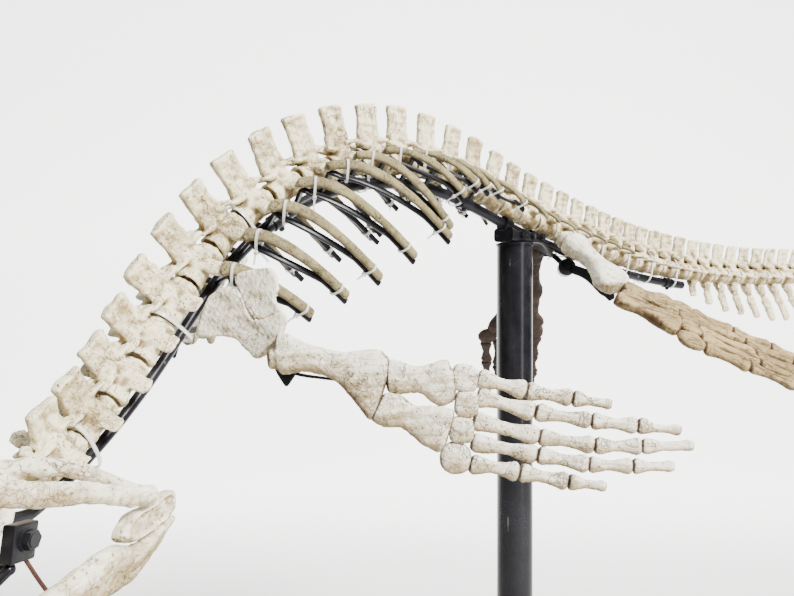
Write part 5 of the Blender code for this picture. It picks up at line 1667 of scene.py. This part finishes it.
def build_pole():
    """The pole with the lip of its cap, its flange and bolts, and the floor plate."""
    radius = bpy.context.scene.mosasaur_mount.pole_radius
    length, width, thick = PLATE_SIZE
    foot = thick + GAP
    top = POLE_TOP
    profile = (
        (0, foot), (radius, foot), (radius, top - 0.0065), (radius + 0.0025, top - 0.0060),
        (radius + 0.0027, top - 0.0010), (radius + 0.0018, top), (radius - 0.0045, top),
        (radius - 0.0050, top - 0.0012), (0, top - 0.0012),
    )
    steel_piece("pole", turned(profile, (0, 0)), ("stand_pole",), "pole_steel")
    edge = 0.0015
    face = foot + FLANGE
    profile = (  # the flange, then the weld round the pole's foot
        (0, foot), (FLANGE_RADIUS - edge, foot), (FLANGE_RADIUS, foot + edge), (FLANGE_RADIUS, face - edge),
        (FLANGE_RADIUS - edge, face), (radius + 0.010, face), (radius + 0.0075, face + 0.0015),
        (radius + 0.0035, face + 0.0050), (radius + 0.0010, face + 0.0090), (0, face + 0.0090),
    )
    steel_piece("flange", turned(profile, (0, 0)))
    bm = bmesh.new()
    for k in range(FLANGE_BOLTS):
        turn = math.tau * (k + 0.5) / FLANGE_BOLTS
        spot = Vector((math.cos(turn) * BOLT_CIRCLE, math.sin(turn) * BOLT_CIRCLE, face))
        hexagon_bolt(bm, Matrix.Translation(spot) @ Matrix.Rotation(k * 0.7, 4, "Z"), 0.017, 0.010)
    steel_piece("flange_bolts", bm, (), "bare_steel")
    bm = bmesh.new()
    plate = Matrix.Translation((*PLATE_CENTRE, thick / 2)) @ Matrix.Diagonal((length, width, thick, 1))
    bmesh.ops.create_cube(bm, size=1.0, matrix=plate)
    upright = [e for e in bm.edges if abs(e.verts[0].co.z - e.verts[1].co.z) > thick / 2]
    bmesh.ops.bevel(bm, geom=upright, offset=0.04, segments=8, profile=0.5, affect="EDGES", material=-1)
    steel_piece("floor_plate", bm, ("stand_base",), "steel", 0.0018, 30)


def build_saddle():
    """The shoe between the tube and the pole's top, with its bolts and collars."""
    crossing = pole_crossing()
    radius = bpy.context.scene.mosasaur_mount.tube_radius
    rings = []
    for t in (k / 12 for k in range(13)):
        ahead, half = (np.interp(t, (0, 0.5, 1), column) for column in zip(*SADDLE))
        axes = place(crossing + ahead)
        middle = at(axes, 0, 0, -tube_drop(crossing + ahead) - TUBE_CORNER + 0.004)
        deep = middle.z - (POLE_TOP + GAP)
        depth = float(np.interp(t, (0.5, 1), (deep, SADDLE_TIP)))
        left = Vector(axes.col[1][:3])
        centre = Vector((middle.x, middle.y, middle.z - depth / 2))
        rings.append(oval(centre, left * half, Vector((0, 0, depth / 2)), 5.0, 24))
    bm = solid_through(rings)
    for side in (1, -1):
        for ahead in SADDLE_BOLTS:
            axes = place(crossing + ahead)
            left = Vector(axes.col[1][:3]) * side
            spot = at(axes, 0, 0, 0) + left * 0.0255
            spot.z = POLE_TOP + 0.015
            hexagon_bolt(bm, facing(spot, left), 0.012, 0.007)
    for ahead in SADDLE_COLLARS:
        tube_collar(bm, crossing + ahead, SADDLE_COLLAR, 2 * radius + 0.009, 20, 2.4)
    steel_piece("pole_saddle", bm, ("stand_saddle",))


def build_hip_bracket():
    """The cross tube at the hips, and the arms that carry the thighs."""
    bm = bmesh.new()
    along = (CROSS_FAR - CROSS_NEAR).normalized()
    near = [CROSS_NEAR + along * step for step, _ in CROSS_END]
    far = [CROSS_FAR - along * step for step, _ in reversed(CROSS_END)]
    shares = [share for _, share in CROSS_END]
    rings = []
    for point, share in zip(near + far, shares + shares[::-1]):
        width = 2 * CROSS_RADIUS * share
        rings += rod_rings([point, point + along], Vector((1, 0, 0)), width, width, 32, 2.0)[:1]
    solid_through(rings, bm)
    hexagon_bolt(bm, facing(CROSS_NEAR, -along), 0.013, 0.005)
    limb(THIGH_ARM, THIGH_ARM_BREADTHS, THIGH_ARM_THICKNESSES, (0, 0, 1), 22, 6.0, 16, bm, 0.9)
    limb(FAR_ARM, (0.012,) * 3, (0.006,) * 3, (0, 0, 1), 12, 6.0, 16, bm, 0.9)
    steel_piece("hip_bracket", bm, ("stand_hip",))


def build_shoulder_brackets():
    """The bent arms from the tube to the shoulders. The right one is the left one's mirror, cut short."""
    level = vertebra_frame(GIRDLE_LEVEL)
    away = -Vector(level.col[1][:3]) * RIGHT_SET_BACK
    bm = bmesh.new()
    path = [at(level, -0.015, 0.0175, -0.037), *[Vector(p) for p in SHOULDER_ARM]]
    limb(path, SHOULDER_BREADTHS, SHOULDER_THICKNESSES, (0, 0, 1), 26, 6.0, 16, bm, 0.9)
    limb(GUSSET, (0.036, 0.024, 0.004), (0.006,) * 3, (1, 0, 0), 8, 6.0, 16, bm, 0.9)
    steel_piece("shoulder_bracket_left", bm, ("stand_shoulder_left",))
    bm = bmesh.new()
    path = [at(level, -0.015, -0.0175, -0.037), *[mirror(Vector(p), level) + away for p in SHOULDER_ARM[:3]]]
    limb(path, SHOULDER_BREADTHS[:4], SHOULDER_THICKNESSES[:4], (0, 0, 1), 22, 6.0, 16, bm, 0.9)
    steel_piece("shoulder_bracket_right", bm, ("stand_shoulder_right",))


def build_jaw_yoke():
    """The bar and clamps under the skull, and the wires that hang the jaws from it."""
    bm = bmesh.new()
    for points in (JAW_YOKE[:2], JAW_YOKE[1:3], JAW_YOKE[2:]):
        ends = [SKULL @ Vector(p) for p in points]
        solid_through(rod_rings(ends, SKULL.to_3x3() @ Vector((0, 0.3, 1)), 0.0085, 0.0085, 14, 2.6), bm)
    for side in (1, -1):
        lump(SKULL @ Vector((0.095, 0.074 * side, -0.046)), (0.0052,) * 3, bm)
        clamp = SKULL @ Matrix.Translation((0.090, 0.076 * side, -0.026))
        bevelled_block(bm, clamp @ Matrix.Diagonal((*CLAMP_SIZE, 1)), 0.0016, 3)
        bolt = SKULL @ Vector((0.090, 0.0822 * side, -0.024))
        hexagon_bolt(bm, facing(bolt, SKULL_LEFT * side), 0.014, 0.0075)
    steel_piece("jaw_yoke", bm, ("stand_jaw_yoke",))
    bm = bmesh.new()
    for side in (1, -1):
        for wire in JAW_WIRES:
            path = [SKULL @ Vector((x, y * side, z)) for x, y, z in wire]
            limb(path, (JAW_WIRE,) * 4, (JAW_WIRE,) * 4, (0, 0, 1), 14, 2.0, 8, bm, 0.8)
    steel_piece("jaw_wires", bm, (), "rusty_wire")


def rounded_square(turn):
    """Where a square with round corners is, at an angle round it."""
    c, s = math.cos(turn), math.sin(turn)
    reach = (abs(c) ** TIE_CORNER + abs(s) ** TIE_CORNER) ** (-1 / TIE_CORNER)
    return c * reach, s * reach


def band(bm, axes, wide, tall, breadth, thick):
    """A tie's loop about the axes' x: half sizes along y and z, and the strap's breadth and thickness."""
    ring = bmesh.new()
    corners = ((-0.5, 0), (0.5, 0), (0.5, 1), (-0.5, 1))
    verts = [ring.verts.new((x * breadth, 1.0 + out * thick / wide, 0)) for x, out in corners]
    edges = [ring.edges.new((verts[k], verts[(k + 1) % 4])) for k in range(4)]
    bmesh.ops.spin(
        ring, geom=verts + edges, cent=(0, 0, 0), axis=(1, 0, 0), angle=math.tau, steps=28, use_merge=True
    )
    bmesh.ops.remove_doubles(ring, verts=ring.verts, dist=0.0001)
    for vert in ring.verts:
        y, z = rounded_square(math.atan2(vert.co.z, vert.co.y))
        reach = math.hypot(vert.co.y, vert.co.z)
        vert.co.y = y * wide * reach
        vert.co.z = z * tall * reach
    bmesh.ops.recalc_face_normals(ring, faces=ring.faces)
    bmesh.ops.transform(ring, matrix=axes, verts=ring.verts)
    shape = bpy.data.meshes.new("band")
    ring.to_mesh(shape)
    ring.free()
    bm.from_mesh(shape)
    bpy.data.meshes.remove(shape)


def tie(bm, axes, wide, tall, clock, tail=0.020, strap=0.0036):
    """A tie: its loop, its head at an angle round it, and its cut tail."""
    band(bm, axes, wide, tall, strap, TIE_THICKNESS)
    y, z = rounded_square(clock)
    out = Vector((0, y * wide, z * tall))
    normal = Vector((0, math.cos(clock) / wide, math.sin(clock) / tall)).normalized()
    tangent = Vector((0, -normal.z, normal.y))
    turn = frame_of(Vector((1, 0, 0)), tangent, normal, out + normal * 0.0022)
    head = axes @ turn @ Matrix.Diagonal((strap * 1.5, strap * 1.6, 0.0044, 1))
    bevelled_block(bm, head, 0.0005, 2)
    start = axes @ (out + normal * 0.0030)
    way = (axes.to_3x3() @ (tangent * 0.75 + normal * 0.60)).normalized()
    lift = axes.to_3x3() @ normal
    path = (start, start + way * tail * 0.5 + lift * 0.001, start + way * tail + lift * 0.005)
    across = axes.to_3x3() @ Vector((1, 0, 0))
    limb(path, (strap * 0.8,) * 3, (TIE_THICKNESS,) * 3, across, 6, 4.0, 8, bm, 0.8)


def build_ties():
    """Two ties on each long rib, and loops round the backbone and its tube."""
    bm = bmesh.new()
    for index in range(FIRST_RIB, LAST_LONG_RIB + 1):
        axes = vertebra_frame(index)
        for side in (1, -1):
            for t in RIB_TIES:
                rib, rod = axes @ rib_point(index, side, t), rod_point(index, side, t)
                after, before = (axes @ rib_point(index, side, t + step) for step in (0.03, -0.03))
                ahead = (after - before).normalized()
                across = rib - rod
                across = (across - ahead * across.dot(ahead)).normalized()
                turn = frame_of(ahead, across.cross(ahead), across, (rib + rod) / 2)
                breadth = 0.0205 - 0.0075 * t
                clock = -1.57 + 0.9 * math.sin(index * 3.1 + side + t * 5)
                tall = (rib - rod).length / 2 + 0.0066 - 0.0016 * t
                tie(bm, turn, breadth / 2 + 0.0012, tall, clock, 0.012 + 0.004 * math.sin(index * 2.2))
    crossing = pole_crossing()
    tube = bpy.context.scene.mosasaur_mount.tube_radius
    for index in TUBE_TIES:
        s = STARTS[index]
        if abs(s - crossing) < 0.05:
            continue
        axes = place(s)
        body = size(index, BODY_AT, BODY_RADIUS)
        low = -tube_drop(s) - tube - 0.0015
        high = body * 1.02
        centre = Matrix.Translation((0, 0, (low + high) / 2))
        tie(bm, axes @ centre, body * 1.03, (high - low) / 2, 3.6 + 0.8 * math.sin(index), 0.026, 0.0045)
    steel_piece("ties", bm, (), "tie")


# ================================================================ stage
# The floor runs back to a cove, which turns up into the wall.
FLOOR_FRONT, COVE_FROM, COVE_RADIUS, WALL_TOP, FLOOR_HALF = -7.0, 3.2, 2.2, 9.0, 12.0
COVE_STEPS = 16
SURROUND, SURROUND_STRENGTH = (1.0, 0.99, 0.97, 1.0), 0.10
# Name, place, target, size, share of the key light's power, and colour.
LIGHTS = (
    ("key_light", (2.5, -3.0, 4.2), (0.1, -0.2, 1.4), 1.2, 1.0, (1.0, 0.985, 0.96)),
    ("side_light", (1.9, -2.35, 1.55), (0.0, 0.0, 1.35), 0.34, 0.05, (1.0, 0.96, 0.92)),
    ("top_light", (0.4, 0.6, 4.6), (0.4, 0.0, 1.4), 2.6, 0.18, (1.0, 1.0, 1.0)),
)
SIDE_LIGHT_HEIGHT = 2.4
CAMERA_PLACE = (-0.255, -1.30, 1.45)
SENSOR_WIDTH, SIGHT = 36.0, 100.0


def build_floor(colour):
    """The floor, the cove and the wall, as one sheet."""
    profile = [(FLOOR_FRONT, 0.0), (COVE_FROM, 0.0)]
    for k in range(1, COVE_STEPS + 1):
        turn = math.pi / 2 * k / COVE_STEPS
        profile.append((COVE_FROM + COVE_RADIUS * math.sin(turn), COVE_RADIUS * (1 - math.cos(turn))))
    profile.append((COVE_FROM + COVE_RADIUS, WALL_TOP))
    bm = bmesh.new()
    verts = [bm.verts.new((-FLOOR_HALF, y, z)) for y, z in profile]
    edges = [bm.edges.new(pair) for pair in zip(verts, verts[1:])]
    grown = bmesh.ops.extrude_edge_only(bm, edges=edges)["geom"]
    moved = [part for part in grown if isinstance(part, bmesh.types.BMVert)]
    bmesh.ops.translate(bm, vec=(2 * FLOOR_HALF, 0, 0), verts=moved)
    mesh = bpy.data.meshes.new("floor")
    bm.to_mesh(mesh)
    bm.free()
    mesh.flip_normals()
    mesh.shade_smooth()
    mesh.materials.append(floor_finish("pale_floor", colour))
    floor = bpy.data.objects.new("floor", mesh)
    bpy.context.scene.collection.objects.link(floor)
    floor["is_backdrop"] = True


def build_stage():
    """The floor, the surround, the lights and the camera."""
    settings = bpy.context.scene.mosasaur_stage
    build_floor(tuple(settings.floor))
    world = bpy.data.worlds.new("white_surround")
    world.use_nodes = True
    sky = world.node_tree.nodes["Background"]
    sky.inputs["Color"].default_value = SURROUND
    sky.inputs["Strength"].default_value = SURROUND_STRENGTH
    bpy.context.scene.world = world
    for name, spot, target, width, share, colour in LIGHTS:
        data = bpy.data.lights.new(name, "AREA")
        data.size, data.energy, data.color = width, settings.key_power * share, colour
        if name == "side_light":
            data.shape, data.size_y = "RECTANGLE", SIDE_LIGHT_HEIGHT
        lamp = bpy.data.objects.new(name, data)
        lamp.location = spot
        lamp.rotation_euler = (Vector(target) - Vector(spot)).to_track_quat("-Z", "Y").to_euler()
        bpy.context.scene.collection.objects.link(lamp)
    data = bpy.data.cameras.new("camera")
    data.lens, data.sensor_width, data.clip_end = settings.lens, SENSOR_WIDTH, SIGHT
    camera = bpy.data.objects.new("camera", data)
    camera.location = CAMERA_PLACE
    camera.rotation_euler = (math.pi / 2, 0, 0)
    bpy.context.scene.collection.objects.link(camera)
    bpy.context.scene.camera = camera


# ================================================================ operators and panel
def build_neck_and_trunk():
    """The neck's vertebrae, and the trunk's in two pieces."""
    build_vertebrae("neck_vertebrae", 0, NECK, "neck_bone", ("neck",))
    build_vertebrae("front_back_vertebrae", NECK, NECK + FRONT_TRUNK, "bone", ("trunk_left",))
    build_vertebrae("hind_back_vertebrae", NECK + FRONT_TRUNK, NECK + TRUNK, "bone", ("trunk_right",))


def build_tail():
    """The hip's vertebrae, and the tail's in four pieces."""
    start = NECK + TRUNK
    build_vertebrae("hip_vertebrae", start, start + PELVIC, "bone", ("tail_base",))
    start += PELVIC
    run = CAUDAL // TAIL_PIECES
    for k in range(TAIL_PIECES):
        first = start + run * k
        build_vertebrae(f"tail_vertebrae_{k + 1}", first, first + run, "bone", (f"tail_{k + 1}",))


class MOSASAUR_OT_skull(bpy.types.Operator):
    """Build the skull and its upper teeth"""

    bl_idname = "mosasaur.skull"
    bl_label = "Skull"

    def execute(self, context):
        build_skull()
        return {"FINISHED"}


class MOSASAUR_OT_jaws(bpy.types.Operator):
    """Build the quadrates, the lower jaws and their teeth"""

    bl_idname = "mosasaur.jaws"
    bl_label = "Jaws"

    def execute(self, context):
        build_jaws()
        return {"FINISHED"}


class MOSASAUR_OT_trunk(bpy.types.Operator):
    """Build the vertebrae of the neck and trunk"""

    bl_idname = "mosasaur.trunk"
    bl_label = "Neck and Trunk"

    def execute(self, context):
        build_neck_and_trunk()
        return {"FINISHED"}


class MOSASAUR_OT_tail(bpy.types.Operator):
    """Build the vertebrae behind the trunk, to the tip of the tail"""

    bl_idname = "mosasaur.tail"
    bl_label = "Tail"

    def execute(self, context):
        build_tail()
        return {"FINISHED"}


class MOSASAUR_OT_ribs(bpy.types.Operator):
    """Build the ribs of both sides"""

    bl_idname = "mosasaur.ribs"
    bl_label = "Ribs"

    def execute(self, context):
        build_ribs()
        return {"FINISHED"}


class MOSASAUR_OT_girdles(bpy.types.Operator):
    """Build the coracoids and shoulder blades"""

    bl_idname = "mosasaur.girdles"
    bl_label = "Shoulder Girdle"

    def execute(self, context):
        build_girdles()
        return {"FINISHED"}


class MOSASAUR_OT_fore_paddles(bpy.types.Operator):
    """Build the two front paddles"""

    bl_idname = "mosasaur.fore_paddles"
    bl_label = "Front Paddles"

    def execute(self, context):
        build_fore_paddles()
        return {"FINISHED"}


class MOSASAUR_OT_hind_paddles(bpy.types.Operator):
    """Build the two hind paddles"""

    bl_idname = "mosasaur.hind_paddles"
    bl_label = "Hind Paddles"

    def execute(self, context):
        build_hind_paddles()
        return {"FINISHED"}


class MOSASAUR_OT_armature(bpy.types.Operator):
    """Build the steel tube under the backbone and the rods under the ribs"""

    bl_idname = "mosasaur.armature"
    bl_label = "Armature"

    def execute(self, context):
        build_armature()
        return {"FINISHED"}


class MOSASAUR_OT_brackets(bpy.types.Operator):
    """Build the steel that carries the jaws, shoulders and hips"""

    bl_idname = "mosasaur.brackets"
    bl_label = "Brackets"

    def execute(self, context):
        build_hip_bracket()
        build_shoulder_brackets()
        build_jaw_yoke()
        return {"FINISHED"}


class MOSASAUR_OT_ties(bpy.types.Operator):
    """Build the nylon ties that hold the bones to the steel"""

    bl_idname = "mosasaur.ties"
    bl_label = "Ties"

    def execute(self, context):
        build_ties()
        return {"FINISHED"}


class MOSASAUR_OT_pole(bpy.types.Operator):
    """Build the pole, its saddle, flange and floor plate"""

    bl_idname = "mosasaur.pole"
    bl_label = "Pole and Plate"

    def execute(self, context):
        build_saddle()
        build_pole()
        return {"FINISHED"}


class MOSASAUR_OT_stage(bpy.types.Operator):
    """Build the floor, lights and camera"""

    bl_idname = "mosasaur.stage"
    bl_label = "Stage"

    def execute(self, context):
        build_stage()
        return {"FINISHED"}


OPERATORS = (
    MOSASAUR_OT_skull,
    MOSASAUR_OT_jaws,
    MOSASAUR_OT_trunk,
    MOSASAUR_OT_tail,
    MOSASAUR_OT_ribs,
    MOSASAUR_OT_girdles,
    MOSASAUR_OT_fore_paddles,
    MOSASAUR_OT_hind_paddles,
    MOSASAUR_OT_armature,
    MOSASAUR_OT_brackets,
    MOSASAUR_OT_ties,
    MOSASAUR_OT_pole,
    MOSASAUR_OT_stage,
)


class MOSASAUR_PT_panel(bpy.types.Panel):
    """The skeleton's settings and pieces"""

    bl_idname = "MOSASAUR_PT_panel"
    bl_label = "Mosasaur Skeleton"
    bl_space_type = "VIEW_3D"
    bl_region_type = "UI"
    bl_category = "Skeleton"

    def draw(self, context):
        scene = context.scene
        for settings in (scene.mosasaur_bones, scene.mosasaur_mount, scene.mosasaur_stage):
            box = self.layout.box()
            for name in settings.__annotations__:
                box.prop(settings, name)
        column = self.layout.column()
        for operator in OPERATORS:
            column.operator(operator.bl_idname)


SETTINGS = {"mosasaur_bones": BoneSettings, "mosasaur_mount": MountSettings, "mosasaur_stage": StageSettings}


def register():
    for kind in (*SETTINGS.values(), *OPERATORS, MOSASAUR_PT_panel):
        bpy.utils.register_class(kind)
    for name, kind in SETTINGS.items():
        setattr(bpy.types.Scene, name, PointerProperty(type=kind))


def unregister():
    for name in SETTINGS:
        delattr(bpy.types.Scene, name)
    for kind in (MOSASAUR_PT_panel, *reversed(OPERATORS), *reversed(SETTINGS.values())):
        bpy.utils.unregister_class(kind)


def main():
    register()
    for operator in OPERATORS:
        name = operator.bl_idname.split(".")[1]
        getattr(bpy.ops.mosasaur, name)()
    sizes = {"cad": START_BOX, "visual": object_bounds()}
    sizes = {name: [[float(v) for v in corner] for corner in box] for name, box in sizes.items()}


if __name__ == "__main__":
    main()
